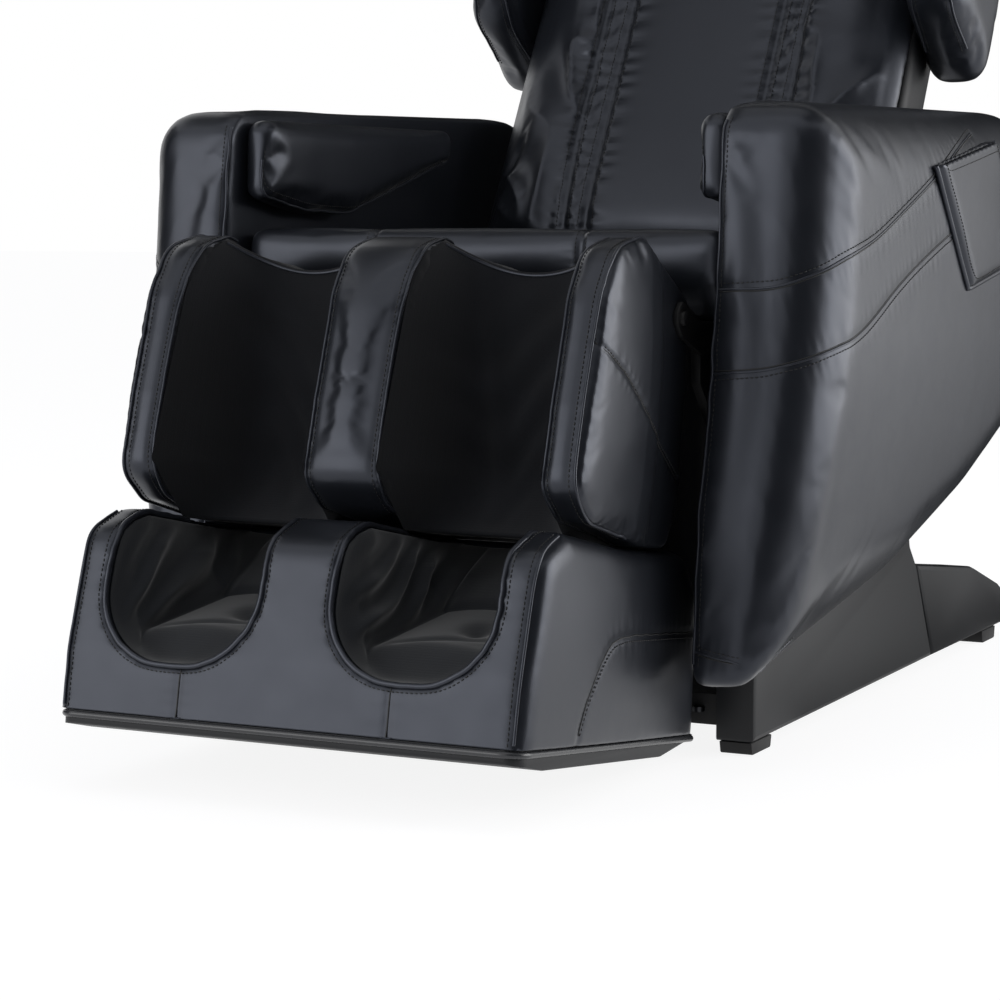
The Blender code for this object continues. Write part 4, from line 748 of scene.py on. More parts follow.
def cushion_low(u, v):
    return in_chair(u * (CUSHION_HALF - 0.002), CUSHION_FRONT_Y + CUSHION_DEEP * v, 0.4363)


seat_stitches, seat_welts = [], []
seat_cushion = sheet_solid("seat_cushion_cover", *cushion_grid, cushion_top, cushion_low)
stuff(seat_cushion, 0.006, 3, 0.008, lambda spots: (spots[:, 2] < 0.450) | (np.abs(spots[:, 0]) > 0.258))
seam_ys = [CUSHION_FRONT_Y + CUSHION_DEEP * v for v in (0.02, 0.3, 0.6, 0.97)]
cushion_seams = [thread([in_chair(x, y, 0.515) for y in seam_ys]) for x in (-0.12, 0.12)]
sew(seat_cushion, laid_on(seat_cushion, cushion_seams, 0), depth=0.003, width=0.007)
for offset in (-0.006, 0.006):
    seat_stitches += laid_on(seat_cushion, [path + (offset, 0, 0) for path in cushion_seams], 0.0003)
upholster(seat_cushion, "seat", "seat_cushion")

# Seat bolster: the rounded front edge of the seat, three leather panels over firm foam,
# sewn together a little in from each end.
BOLSTER_HALF = 0.272
BOLSTER_SEAM = 0.120
bolster_outline = rounded(
    [(0.0, 0.530, 0.022), (0.0, 0.478, 0.018), (0.034, 0.437, 0.004), (0.0975, 0.437, 0.002), (0.0975, 0.518, 0.020)]
)
bolster_ends = [(BOLSTER_HALF, 0.012), (BOLSTER_HALF - 0.002, 0.006), (BOLSTER_HALF - 0.007, 0.0015)]
bolster_ends += [(x, 0.0) for x in np.linspace(BOLSTER_HALF - 0.014, 0, 24, endpoint=False)]
bolster_stations = bolster_ends + [(0.0, 0.0)] + [(-x, by) for x, by in bolster_ends[::-1]]
bolster = loft("seat_bolster_cover", bolster_outline, bolster_stations, in_chair)


def bolster_held(spots):
    seam = np.abs(np.abs(spots[:, 0]) - BOLSTER_SEAM) < 0.004
    return seam | (spots[:, 2] < 0.452) | (np.abs(spots[:, 0]) > 0.266) | (spots[:, 1] > 0.088 - CHAIR_MIDDLE)


stuff(bolster, 0.005, 3, 0.004, bolster_held)
bolster_ring = [(0.090, 0.524), (0.060, 0.529), (0.020, 0.532), (0.002, 0.520)]
bolster_ring += [(-0.001, 0.495), (0.006, 0.470), (0.030, 0.442)]
bolster_seams = [thread([in_chair(x, y, z) for y, z in bolster_ring]) for x in (-BOLSTER_SEAM, BOLSTER_SEAM)]
sew(bolster, laid_on(bolster, bolster_seams, 0), depth=0.0030, width=0.0045)
for offset in (-0.005, 0.005):
    seat_stitches += laid_on(bolster, [path + (offset, 0, 0) for path in bolster_seams], STITCH_LIFT)
upholster(bolster, "seat", "seat_bolster")

# Arm rests: moulded foam pods in leather, hollow inside where they pass over the base posts.
# Two curved seams cross the front and run up the side, and a welt follows the inner front edge.
ARM_INNER = 0.277
ARM_OUTER = 0.396
ARM_ROUND_X = 0.056
ARM_ROUND = 0.070
ARM_TAPER = 0.42
arm_outline = rounded(
    [
        (-0.018, 0.655, 0.045),
        (-0.038, 0.460, 0.30),
        (-0.076, 0.250, 0.30),
        (-0.092, 0.078, 0.024),
        (0.060, 0.110, 0.20),
        (0.280, 0.150, 0.30),
        (0.500, 0.215, 0.30),
        (0.715, 0.300, 0.20),
        (0.815, 0.410, 0.12),
        (0.815, 0.565, 0.12),
        (0.685, 0.665, 0.15),
    ],
    10,
)
arm_stations = [(ARM_INNER, 0.006), (ARM_INNER + 0.002, 0.0018), (ARM_INNER + 0.006, 0.0)]
for k in range(17):
    turn = math.radians(90 * k / 16)
    arm_stations.append((ARM_OUTER - ARM_ROUND_X * (1 - math.sin(turn)), ARM_ROUND * (1 - math.cos(turn))))
arm_surfaces = {}


def tapered(spots, side):
    """Points of an arm, full along its side and drawn in towards the chair below its middle."""
    below = np.maximum(0.0, ARM_TAPER - spots[:, 2]) / ARM_TAPER
    share = (side * spots[:, 0] - ARM_INNER) / (ARM_OUTER - ARM_INNER)
    belly = np.clip(1 - ((spots[:, 1] + CHAIR_MIDDLE - 0.42) / 0.40) ** 2, 0, 1)
    width = (side * spots[:, 0] - ARM_INNER) * (1 - 0.55 * below**1.7) + 0.006 * belly * np.clip(share, 0, 1) ** 2
    return np.column_stack([side * (ARM_INNER + width), spots[:, 1:]])


def hollow(obj, low, high):
    """Cuts a box out of a solid."""
    shape = bmesh.new()
    bmesh.ops.create_cube(shape, size=1.0)
    for vertex in shape.verts:
        vertex.co = [(a + b) / 2 + (b - a) * t for a, b, t in zip(low, high, vertex.co)]
    carve(obj, closed_object("carving_block", shape))


def carve(obj, cutter):
    boolean = obj.modifiers.new("carve", "BOOLEAN")
    boolean.operation = "DIFFERENCE"
    boolean.solver = "EXACT"
    boolean.object = cutter
    settle(obj)
    bpy.data.objects.remove(cutter, do_unlink=True)


RECESS_FRONT = 0.022
RECESS_OUTER = 0.306
RECESS_TOP = 0.386
upper_side = [(0.023, 0.502), (0.097, 0.520), (0.1905, 0.551), (0.273, 0.579), (0.36, 0.609), (0.45, 0.640)]
upper_front = [(0.279, -0.037, 0.470), (0.310, -0.037, 0.471), (0.348, -0.032, 0.475), (0.377, -0.010, 0.487)]
lower_side = [(0.070, 0.432), (0.162, 0.469), (0.243, 0.496), (0.346, 0.524), (0.46, 0.545)]
lower_side += [(0.62, 0.556), (0.78, 0.548)]
lower_front = [(0.279, -0.054, 0.390), (0.310, -0.053, 0.391), (0.348, -0.044, 0.396), (0.380, -0.014, 0.408)]
gusset_line = [(0.280, -0.082, 0.122), (0.320, -0.078, 0.116), (0.360, -0.050, 0.113), (0.385, 0.0, 0.122)]
inner_edge = [(-0.018, 0.640), (-0.022, 0.610), (-0.040, 0.460), (-0.054, 0.395)]
inner_edge += [(-0.065, 0.331), (-0.073, 0.2435), (-0.082, 0.1655), (-0.088, 0.110)]
pad_outline = rounded(
    [
        (0.004, 0.643, 0.020),
        (0.000, 0.560, 0.012),
        (0.090, 0.543, 0.080),
        (0.190, 0.540, 0.080),
        (0.300, 0.568, 0.080),
        (0.430, 0.602, 0.012),
        (0.440, 0.643, 0.020),
    ]
)
seat_laps, seat_seams = [], []
for name, side in SIDES:
    arm = loft("arm_cover_" + name, arm_outline, [(side * x, by) for x, by in arm_stations], in_chair)
    soften(arm, 0.009, 1)
    move_to(arm, tapered(spots_of(arm), side))
    edges = sorted((side * 0.200, side * RECESS_OUTER))
    hollow(arm, (edges[0], RECESS_FRONT - CHAIR_MIDDLE, -0.050), (edges[1], 0.900 - CHAIR_MIDDLE, RECESS_TOP))
    soften(arm, 0.0068, 4)
    upper, lower = (
        thread(
            [in_chair(side * x, y, z) for x, y, z in front]
            + [in_chair(side * (ARM_OUTER + 0.004), y, z) for y, z in along_side]
        )
        for front, along_side in ((upper_front, upper_side), (lower_front, lower_side))
    )
    front_edge = thread([in_chair(side * 0.278, y, z) for y, z in inner_edge])
    gusset = thread(tapered(np.array([tuple(in_chair(side * x, y, z)) for x, y, z in gusset_line]), side))

    def arm_held(spots):
        inside = side * spots[:, 0] < 0.2795
        recess = (side * spots[:, 0] < 0.3085) & (spots[:, 2] < 0.389) & (spots[:, 1] > 0.018 - CHAIR_MIDDLE)
        return inside | recess

    swell(arm, 0.003, arm_held)
    refine(arm)
    sew(arm, laid_on(arm, [upper, lower, gusset], 0), depth=0.0008, width=0.006)
    seat_laps += laid_on(arm, [upper, lower, gusset], 0)
    seam_drop, stitch_rise = np.array([0, 0, 0.0022]), np.array([0, 0, 0.006])
    seat_seams += laid_on(arm, [upper - seam_drop, lower + seam_drop, gusset - seam_drop], -0.0001)
    seat_stitches += laid_on(arm, [upper + stitch_rise, lower - stitch_rise, gusset + stitch_rise], 0.0005)
    seat_stitches += laid_on(arm, [front_edge + (side * 0.008, 0, 0)], STITCH_LIFT)
    seat_welts += laid_on(arm, [front_edge], 0.0002)
    arm_surfaces[name] = surface_of(arm)
    upholster(arm, "seat", "arm_" + name)

    # Arm pads: soft leather pads on the inside of each arm, under its top.
    # A welt and a row of stitches follow their lower edge.
    pad_stations = [(side * x, by) for x, by in soft_edges(0.2435, 0.2767, 0.014)]
    pad = loft("arm_pad_cover_" + name, pad_outline, pad_stations, in_chair)
    stuff(pad, 0.005, 3, 0.004, lambda spots: side * spots[:, 0] > 0.270)
    pad_edge = [(0.000, 0.600), (0.003, 0.562), (0.090, 0.545), (0.190, 0.542), (0.300, 0.569)]
    pad_edge += [(0.425, 0.603), (0.436, 0.635)]
    lower_edge = thread([in_chair(side * 0.250, y, z) for y, z in pad_edge])
    seat_welts += laid_on(pad, [lower_edge], 0.0004)
    seat_stitches += laid_on(pad, [lower_edge + (-side * 0.006, 0, 0.008)], STITCH_LIFT)
    upholster(pad, "seat", "arm_pad_" + name)

# Handset pocket: a leather pocket sewn flat on the outside of the left arm, piped all round,
# with its mouth on the slanted top edge.
POCKET = [(0.268, 0.593), (0.390, 0.461), (0.600, 0.491), (0.478, 0.623)]
POCKET_X = 0.4003
POCKET_THICK = 0.0157
POCKET_WALL = 0.003
pocket_shares = np.linspace(0, 1, 31)


def on_pocket(u, v, x):
    """Point of the pocket: u from front to rear, v from the mouth down."""
    top = Vector(POCKET[0]).lerp(Vector(POCKET[3]), u)
    low = Vector(POCKET[1]).lerp(Vector(POCKET[2]), u)
    y, z = top.lerp(low, v)
    return in_chair(x, y, z)


def pocket_outside(u, v):
    round_edge = min(1.0, min(u, 1 - u) / 0.10, (1 - v) / 0.10)
    belly = 0.5 + 0.5 * math.sin(math.pi * min(1, v * 1.05)) * math.sin(math.pi * u)
    full = 0.35 + 0.65 * math.sqrt(max(0.0, 1 - (1 - round_edge) ** 2))
    return on_pocket(u, v, POCKET_X + POCKET_THICK * full * (0.80 + 0.20 * belly))


def pocket_inside(u, v):
    """Back of the pocket, laid on the arm."""
    away = on_pocket(u, v, 0.6)
    hit = arm_surfaces["left"].ray_cast(away, Vector((-1, 0, 0)))[0]
    return Vector((min(POCKET_X, hit.x + 0.0006) if hit else POCKET_X, away.y, away.z))


pocket = sheet_solid("handset_pocket_cover", pocket_shares, pocket_shares, pocket_outside, pocket_inside)
mouth = sheet_solid(
    "pocket_mouth",
    [0.06, 0.94],
    [-0.10, 0.90],
    lambda u, v: on_pocket(u, v, POCKET_X + POCKET_THICK - 2 * POCKET_WALL),
    lambda u, v: on_pocket(u, v, POCKET_X + POCKET_WALL),
)
carve(pocket, mouth)
soften(pocket, 0.0022, 2)
rim = [(0.0, 0.0), (0.0, 0.5), (0.005, 0.97), (0.03, 0.995), (0.5, 1.0)]
rim += [(1 - u, v) for u, v in rim[-2::-1]]
pocket_rim = thread([on_pocket(u, v, POCKET_X + 0.006) for u, v in rim])
pocket_welts = laid_on(pocket, [pocket_rim], WELT_LIFT)
inset = [(0.045, 0.02), (0.045, 0.5), (0.05, 0.93), (0.5, 0.955), (0.95, 0.93), (0.955, 0.5), (0.955, 0.02)]
seat_stitches += laid_on(pocket, [thread([on_pocket(u, v, 0.43) for u, v in inset])], STITCH_LIFT)
seat_stitches += laid_on(pocket, [thread([on_pocket(u, 0.06, 0.43) for u in (0.05, 0.3, 0.6, 0.95)])], STITCH_LIFT)
upholster(pocket, "seat", "handset_pocket")

trim("seat_stitching", "seat", stitch_tree, seat_stitches, polyester)
trim("seat_seam_lines", "seat", welt_tree, seat_seams, polyester, Thick=0.0015)
trim("seat_lapped_edges", "seat", welt_tree, seat_laps, leather, Thick=0.0024)
trim("pocket_piping", "seat", welt_tree, pocket_welts, leather, Thick=0.0060)
trim("seat_piping", "seat", welt_tree, seat_welts, leather)

# Back shell: one thin vacuum-formed cover behind the back, open to the front.
# It is satin black, like the mouldings of the base.
RECLINE_Y = 0.550
RECLINE_Z = 0.400
BACK_LEAN = math.radians(30)
BACK_HALF = 0.250
BACK_LENGTH = 0.800
SHELL_LOW = 0.060
SHELL_DEEP = -0.090
SHELL_WALL = 0.006
BACK_RIM = 0.070
CUSHION_FRONT = 0.125


def on_back(x, along, out):
    """Point of the back, from the recline axis along the back and out towards the sitter."""
    y = RECLINE_Y + along * math.sin(BACK_LEAN) - out * math.cos(BACK_LEAN)
    return in_chair(x, y, RECLINE_Z + along * math.cos(BACK_LEAN) + out * math.sin(BACK_LEAN))


def back_half(along):
    rise = max(0.0, along - 0.60 * BACK_LENGTH) / (0.40 * BACK_LENGTH)
    return BACK_HALF * (1 - 0.24 * rise**2.2)


def shell_depth(u, v):
    return (1 - abs(u) ** 8) ** 0.34 * (1 - max(0.0, (v - 0.80) / 0.20) ** 4) ** 0.5


def shell_outer(u, v):
    along = SHELL_LOW + (BACK_LENGTH - SHELL_LOW) * v
    return on_back(u * back_half(along), along, BACK_RIM + (SHELL_DEEP - BACK_RIM) * shell_depth(u, v))


def shell_inner(u, v):
    along = SHELL_LOW + (BACK_LENGTH - SHELL_WALL - SHELL_LOW) * v
    depth = BACK_RIM + (SHELL_DEEP + SHELL_WALL - BACK_RIM) * shell_depth(u, v)
    return on_back(u * (back_half(along) - SHELL_WALL), along, depth)


turns = np.linspace(-math.pi / 2, math.pi / 2, 65)
shell_us = [math.copysign(abs(math.sin(t)) ** 0.5, t) for t in turns]
shell_vs = list(np.linspace(0, 0.78, 24)) + [1 - 0.22 * (1 - math.sin(t)) for t in np.linspace(0.05, math.pi / 2, 24)]
back_shell = sheet_solid("back_shell_moulding", shell_us, shell_vs, shell_outer, shell_inner)
back_shell.data.materials.append(moulded_abs)
back_shell.data.shade_smooth()
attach(back_shell, "back")
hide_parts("back_shell")

# Back cushion: quilted leather pad over the massage track. Two sunk seams run up beside the spine
# and the leather lies in slack folds outside them.
CHANNEL_X = 0.115


def back_front(u, v):
    along = SHELL_LOW + (BACK_LENGTH - SHELL_LOW) * v
    edge = (1 - abs(u) ** 8) * (1 - abs(2 * v - 1) ** 14)
    out = BACK_RIM + 0.014 + (CUSHION_FRONT - BACK_RIM - 0.016) * edge**0.5
    return on_back(u * back_half(along) * 0.985, along, out)


def back_rear(u, v):
    along = SHELL_LOW + (BACK_LENGTH - SHELL_LOW) * v
    return on_back(u * back_half(along), along, BACK_RIM + 0.0003)


back_stitches = []
back_grid = (np.linspace(-1, 1, 51), np.linspace(0, 1, 81))
back_cushion = sheet_solid("back_cushion_cover", *back_grid, back_front, back_rear)
BACK_FACE = np.array([0, -math.cos(BACK_LEAN), math.sin(BACK_LEAN)])
BACK_UP = np.array([0, math.sin(BACK_LEAN), math.cos(BACK_LEAN)])
BACK_PIVOT = np.array(tuple(in_chair(0, RECLINE_Y, RECLINE_Z)))


def back_held(spots):
    out = (spots - BACK_PIVOT) @ BACK_FACE
    seam = np.abs(np.abs(spots[:, 0]) - CHANNEL_X) < 0.004
    return (out < BACK_RIM + 0.012) | seam


stuff(back_cushion, 0.0062, 2, 0.010, back_held)
spots = spots_of(back_cushion)
along = (spots - BACK_PIVOT) @ BACK_UP
out = (spots - BACK_PIVOT) @ BACK_FACE
x = spots[:, 0]
front = np.clip((out - 0.095) / 0.02, 0, 1) * np.clip((BACK_LENGTH - 0.03 - along) / 0.05, 0, 1)
slack = np.clip((np.abs(x) - CHANNEL_X) / 0.03, 0, 1) * np.clip((0.52 - along) / 0.15, 0, 1)
rise = np.zeros(len(spots))
for i in np.flatnonzero(front * slack > 0.01):
    reach, height = abs(x[i]), along[i]
    drift = noise.noise(Vector((9 * x[i], 7 * height, 2.0)))
    ridge = 1 - abs(noise.noise(Vector((16 * (reach - 0.35 * height) + drift, 5 * (height + 0.5 * reach), 7.0))))
    rise[i] = front[i] * slack[i] * (0.011 * ridge**3 - 0.004)
move_to(back_cushion, spots + rise[:, None] * BACK_FACE)
seam_xs = [x + offset for x in (-CHANNEL_X, CHANNEL_X) for offset in (-0.015, 0.015)]
spine_seams = [thread([on_back(x, a, 0.130) for a in (0.075, 0.25, 0.45, 0.60, 0.72)]) for x in seam_xs]
sew(back_cushion, laid_on(back_cushion, spine_seams, 0), depth=0.005, width=0.006, pucker=0.0012, pitch=0.022)
for offset in (-0.006, 0.006):
    back_stitches += laid_on(back_cushion, [path + (offset, 0, 0) for path in spine_seams], STITCH_LIFT)
upholster(back_cushion, "back", "back_cushion")

# Head pillow: a small soft pillow that lies on the top of the back cushion,
# piped round its edge.
def pillow_front(u, v):
    puff = (1 - abs(u) ** 4) * (1 - abs(2 * v - 1) ** 4)
    return on_back(0.133 * u, 0.587 + 0.166 * v, CUSHION_FRONT + 0.012 + 0.036 * puff**0.5)


def pillow_rear(u, v):
    return on_back(0.130 * u, 0.587 + 0.166 * v, CUSHION_FRONT + 0.0012)


pillow_grid = (np.linspace(-1, 1, 41), np.linspace(0, 1, 31))
pillow = sheet_solid("head_pillow_cover", *pillow_grid, pillow_front, pillow_rear)
stuff(pillow, 0.0045, 3, 0.007, lambda spots: (spots - BACK_PIVOT) @ BACK_FACE < CUSHION_FRONT + 0.006)
pillow_ring = [(0, -1), (0.9, -1), (1, 0), (0.9, 1), (0, 1), (-0.9, 1), (-1, 0), (-0.9, -1), (0, -1)]
pillow_rim = thread([on_back(0.134 * u, 0.670 + 0.084 * v, CUSHION_FRONT + 0.014) for u, v in pillow_ring])
back_welts = laid_on(pillow, [pillow_rim], WELT_LIFT)
upholster(pillow, "back", "head_pillow")

# Shoulder wings: leather pads on either side of the back that hold the shoulders.
# Each has a welt and a row of stitches round both of its faces.
wing_outline = rounded(
    [
        (0.344, -0.020, 0.030),
        (0.364, 0.130, 0.060),
        (0.444, 0.215, 0.050),
        (0.564, 0.200, 0.060),
        (0.624, 0.080, 0.060),
        (0.604, -0.030, 0.030),
    ]
)
for name, side in SIDES:
    stations = [(side * x, by) for x, by in soft_edges(0.2505, 0.322, 0.026)]
    wing = loft("shoulder_wing_cover_" + name, wing_outline, stations, on_back)
    stuff(wing, 0.0055, 3, 0.005, lambda spots: side * spots[:, 0] < 0.254)
    wing_line = [(0.36, 0.05), (0.372, 0.130), (0.444, 0.208), (0.564, 0.195), (0.617, 0.08), (0.605, 0.0)]
    for depth in (0.262, 0.312):
        path = thread([on_back(side * depth, a, o) for a, o in wing_line])
        back_welts += laid_on(wing, [path], WELT_LIFT)
        back_stitches += laid_on(wing, [path + (math.copysign(0.007, (0.287 - depth)) * side, 0, 0)], STITCH_LIFT)
    upholster(wing, "back", "shoulder_wing_" + name)
trim("back_stitching", "back", stitch_tree, back_stitches, polyester)
trim("back_piping", "back", welt_tree, back_welts, leather)

# Calf ribs: three upright pads of the leg rest in leather, with a welt on each front edge
# and a row of stitches beside it.
LEG_Y = -0.050
LEG_Z = 0.442
LEG_LEAN = math.radians(7.5)
LEG_HALF = 0.244
RIB = 0.0350
MIDDLE_HALF = 0.0405


def on_leg(x, down, out):
    """Point of the leg rest, from its hinge down the leg and out towards the front."""
    y = LEG_Y - down * math.sin(LEG_LEAN) - out * math.cos(LEG_LEAN)
    return in_chair(x, y, LEG_Z - down * math.cos(LEG_LEAN) + out * math.sin(LEG_LEAN))


LEG_HINGE = np.array(tuple(in_chair(0, LEG_Y, LEG_Z)))
LEG_FACE = np.array([0, -math.cos(LEG_LEAN), math.sin(LEG_LEAN)])
LEG_DOWN = np.array([0, -math.sin(LEG_LEAN), -math.cos(LEG_LEAN)])
rib_front = [
    (-0.0715, 0.086, 0.045),
    (-0.052, 0.150, 0.045),
    (-0.006, 0.1765, 0.060),
    (0.100, 0.1995, 0.050),
    (0.178, 0.2120, 0.030),
    (0.206, 0.1720, 0.030),
    (0.2245, 0.0600, 0.020),
]
outer_rib = rounded(rib_front + [(0.2255, -0.015, 0.020), (0.180, -0.036, 0.020), (-0.020, -0.036, 0.015)])
inner_rib = rounded(rib_front + [(0.2245, 0.0203, 0.001), (-0.025, 0.0203, 0.001)])
rib_line = [(-0.064, 0.076), (-0.067, 0.092), (-0.054, 0.131), (-0.030, 0.157), (0.000, 0.173), (0.040, 0.185)]
rib_line += [(0.100, 0.198), (0.160, 0.207), (0.186, 0.194), (0.203, 0.167), (0.212, 0.090)]
slant_line = [(0.040, 0.183), (0.049, 0.1685), (0.0657, 0.1327), (0.085, 0.1016), (0.1038, 0.070)]
slant_line += [(0.1361, 0.0107), (0.155, -0.025)]


def knit_cloth(name, dark, light, bloom):
    """Knit of polyester yarn between two greys, with a bloom of loose fibre."""
    made, tree, shader = new_material(name)
    place = add_node(tree, "ShaderNodeTexCoord").outputs["Object"]
    loop_mm = 2.2  # the real loops are near 0.8 mm, drawn coarser so that they show
    cloud_mm = 71.43
    loops = add_node(tree, "ShaderNodeTexVoronoi", {"Vector": place, "Scale": 1000 / loop_mm, "Randomness": 0.35})
    yarn = blended(tree, pattern_noise(tree, cloud_mm, 4.0), tint(dark), tint(light))
    in_relief(tree, shader, loops.outputs["Distance"], 0.25, 0.0006)
    tree.links.new(yarn, shader.inputs["Base Color"])
    shader.inputs["Roughness"].default_value = 0.92
    shader.inputs[SPECULAR].default_value = 0.25
    shader.inputs["Sheen Weight"].default_value = bloom
    shader.inputs["Sheen Roughness"].default_value = 0.5
    return made


knit = knit_cloth("black_polyester_warp_knit", "#090a0d", "#111319", 0.12)
leg_stitches, leg_welts, leg_seams = [], [], []


def line_rib(rib, low, high):
    """Knit on the sides of a rib that face a calf, from the welt inwards."""
    rib.data.materials.append(knit)
    for face in rib.data.polygons:
        face.material_index = int(not low + 0.0015 < face.center.x < high - 0.0015)


def sew_rib(rib, low, high):
    """Welts on both front edges of a rib, each with its row of stitches on the front."""
    for edge, inward in ((low, 1), (high, -1)):
        path = thread([on_leg(edge + inward * 0.0015, down, out) for down, out in rib_line])
        row = path + (inward * 0.0060, 0, 0)
        sew(rib, laid_on(rib, [row], 0), depth=0.0008, width=0.0035, pucker=0.0)
        leg_welts.extend(laid_on(rib, [path], 0.0011))
        leg_stitches.extend(laid_on(rib, [row], 0.0004))


def rib_held(spots):
    return (spots - LEG_HINGE) @ LEG_FACE < 0.040


def crown_front(obj, middle, half, rise):
    """Fills the front of a rib between its two edges."""
    spots = spots_of(obj)
    across = np.clip(1 - ((spots[:, 0] - middle) / half) ** 2, 0, 1)
    ahead = np.clip(((spots - LEG_HINGE) @ LEG_FACE - 0.060) / 0.050, 0, 1)
    move_to(obj, spots + (rise * across * ahead)[:, None] * LEG_FACE)


def crown_side(obj, side, rise, downs, outs, spread=0.0):
    """Fills the outer side of a piece of the leg rest like a pillow, round a middle with its reach each way."""
    spots = spots_of(obj)
    down = (spots - LEG_HINGE) @ LEG_DOWN
    out = (spots - LEG_HINGE) @ LEG_FACE
    belly = np.clip(1 - ((down - downs[0]) / downs[1]) ** 2, 0, 1)
    belly *= np.clip(1 - ((out - outs[0]) / outs[1]) ** 2, 0, 1)
    face = np.clip((side * spots[:, 0] - (LEG_HALF - 0.014)) / 0.012, 0, 1)
    spots[:, 0] += side * face * (rise * belly + spread * np.clip((out - 0.030) / 0.050, 0, 1))
    move_to(obj, spots)


for name, side in SIDES:
    low, high = sorted((side * (LEG_HALF - RIB), side * LEG_HALF))
    rib = loft("calf_rib_cover_" + name, outer_rib, soft_edges(low, high, 0.004), on_leg)
    stuff(rib, 0.0042, 3, 0.0025, rib_held)
    crown_front(rib, (low + high) / 2, RIB / 2, 0.004)
    crown_side(rib, side, 0.0070, (0.075, 0.135), (0.080, 0.150), 0.004)
    sew_rib(rib, low, high)
    slant = thread([on_leg(side * LEG_HALF, down, out) for down, out in slant_line])
    sew(rib, laid_on(rib, [slant], 0), depth=0.0016, width=0.0035)
    leg_seams += laid_on(rib, [slant], 0)
    leg_stitches += laid_on(rib, [slant + (0, 0, 0.005)], STITCH_LIFT)
    upholster(rib, "leg_rest", "calf_rib_" + name)
    line_rib(rib, *((low, 1) if side > 0 else (-1, high)))
rib = loft("calf_rib_cover_middle", inner_rib, soft_edges(-MIDDLE_HALF, MIDDLE_HALF, 0.004), on_leg)
stuff(rib, 0.0042, 3, 0.0025, rib_held)
crown_front(rib, 0, MIDDLE_HALF, 0.005)
sew_rib(rib, -MIDDLE_HALF, MIDDLE_HALF)
upholster(rib, "leg_rest", "calf_rib_middle")
line_rib(rib, -MIDDLE_HALF, MIDDLE_HALF)

# Calf wells: black knit stretched over airbags between the ribs, hemmed at the top.
# The knit is matt, with fine loops and a faint bloom of fibre at grazing angles.
WELL_INNER = 0.0400
WELL_OUTER = 0.2088
WELL_LOW = 0.2205


def rib_face(down):
    """How far out the front of a rib stands at a height."""
    if down < 0:
        return 0.173 + 0.35 * down - 12.0 * down**2
    return 0.173 + 0.26 * min(down, 0.165) - 1.15 * max(0.0, down - 0.165)


def well_front(u, v):
    top = -0.036 - 0.028 * abs(u) ** 2
    down = top + (WELL_LOW - top) * v
    edge = rib_face(down) - 0.003
    deep = 0.067 + 0.045 * max(0.0, v / 0.3 - 2.333) ** 2
    return down, deep + (edge - deep) * abs(u) ** 5


well_grid = (np.sin(np.linspace(-math.pi / 2, math.pi / 2, 61)), np.linspace(0, 1, 81))
for name, side in SIDES:

    def well_x(u):
        return side * (WELL_INNER + (WELL_OUTER - WELL_INNER) * (u + 1) / 2)

    def well_face(u, v):
        down, out = well_front(u, v)
        ripple = 0.0022 * math.sin(26 * v + 5 * u + 2 * math.sin(9 * u * v)) * math.sin(math.pi * v) * (1 - u**4)
        drape = 0.006 * math.exp(-(((u + 0.62 - 0.45 * v) / 0.13) ** 2))
        return on_leg(well_x(u), down, out + ripple + drape * math.sin(math.pi * min(1.0, v * 1.05)) ** 0.6)

    def well_back(u, v):
        down, out = well_front(u, v)
        return on_leg(well_x(u), max(down, -0.046) + 0.0040 * v**6, 0.0203)

    well = sheet_solid("calf_well_cover_" + name, *well_grid, well_face, well_back)
    upholster(well, "leg_rest", "calf_well_" + name, knit)
    leg_welts.append(thread([well_face(u, 0.012) for u in np.linspace(-0.97, 0.97, 15)]))

# Skirt: black lining cloth that hangs from the seat pan behind the leg rest and hides the frame.
# It is cut away in the middle for the lift rod and turns back along both seat plates.
SKIRT_TOP = 0.4290
SKIRT_LOW = 0.1150
SKIRT_THICK = 0.0012
skirt_plan = [(0.034, 0.028), (0.120, 0.027), (0.215, 0.028), (0.232, 0.034)]
skirt_plan += [(0.2365, 0.052), (0.2370, 0.150), (0.2370, 0.300)]
skirt_line = thread([(x, y, 0) for x, y in skirt_plan], 0.006)
skirt_grid = (range(len(skirt_line)), np.linspace(0, 1, 33))
for name, side in SIDES:

    def skirt(k, v, thick):
        x, y, _ = skirt_line[k]
        wave = 0.0022 * math.sin(0.55 * k + 0.6 * math.sin(3 * v)) * (0.2 + 0.8 * v) * (y < 0.042)
        turned = min(1.0, max(0.0, (y - 0.028) / 0.03))
        height = SKIRT_TOP + (SKIRT_LOW - SKIRT_TOP) * v
        return in_chair(side * (x - thick * turned), y + wave + thick * (1 - turned), height)

    faces = [lambda k, v, thick=thick: skirt(k, v, thick) for thick in (0, SKIRT_THICK)]
    hanging = sheet_solid("seat_skirt_" + name, *skirt_grid, *faces)
    hanging.data.materials.append(knit)
    hanging.data.shade_smooth()
    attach(hanging, "seat")

trim("leg_rest_stitching", "leg_rest", stitch_tree, leg_stitches, polyester)
trim("leg_rest_seam_lines", "leg_rest", welt_tree, leg_seams, polyester, Thick=0.0016)
trim("leg_rest_piping", "leg_rest", welt_tree, leg_welts, leather)

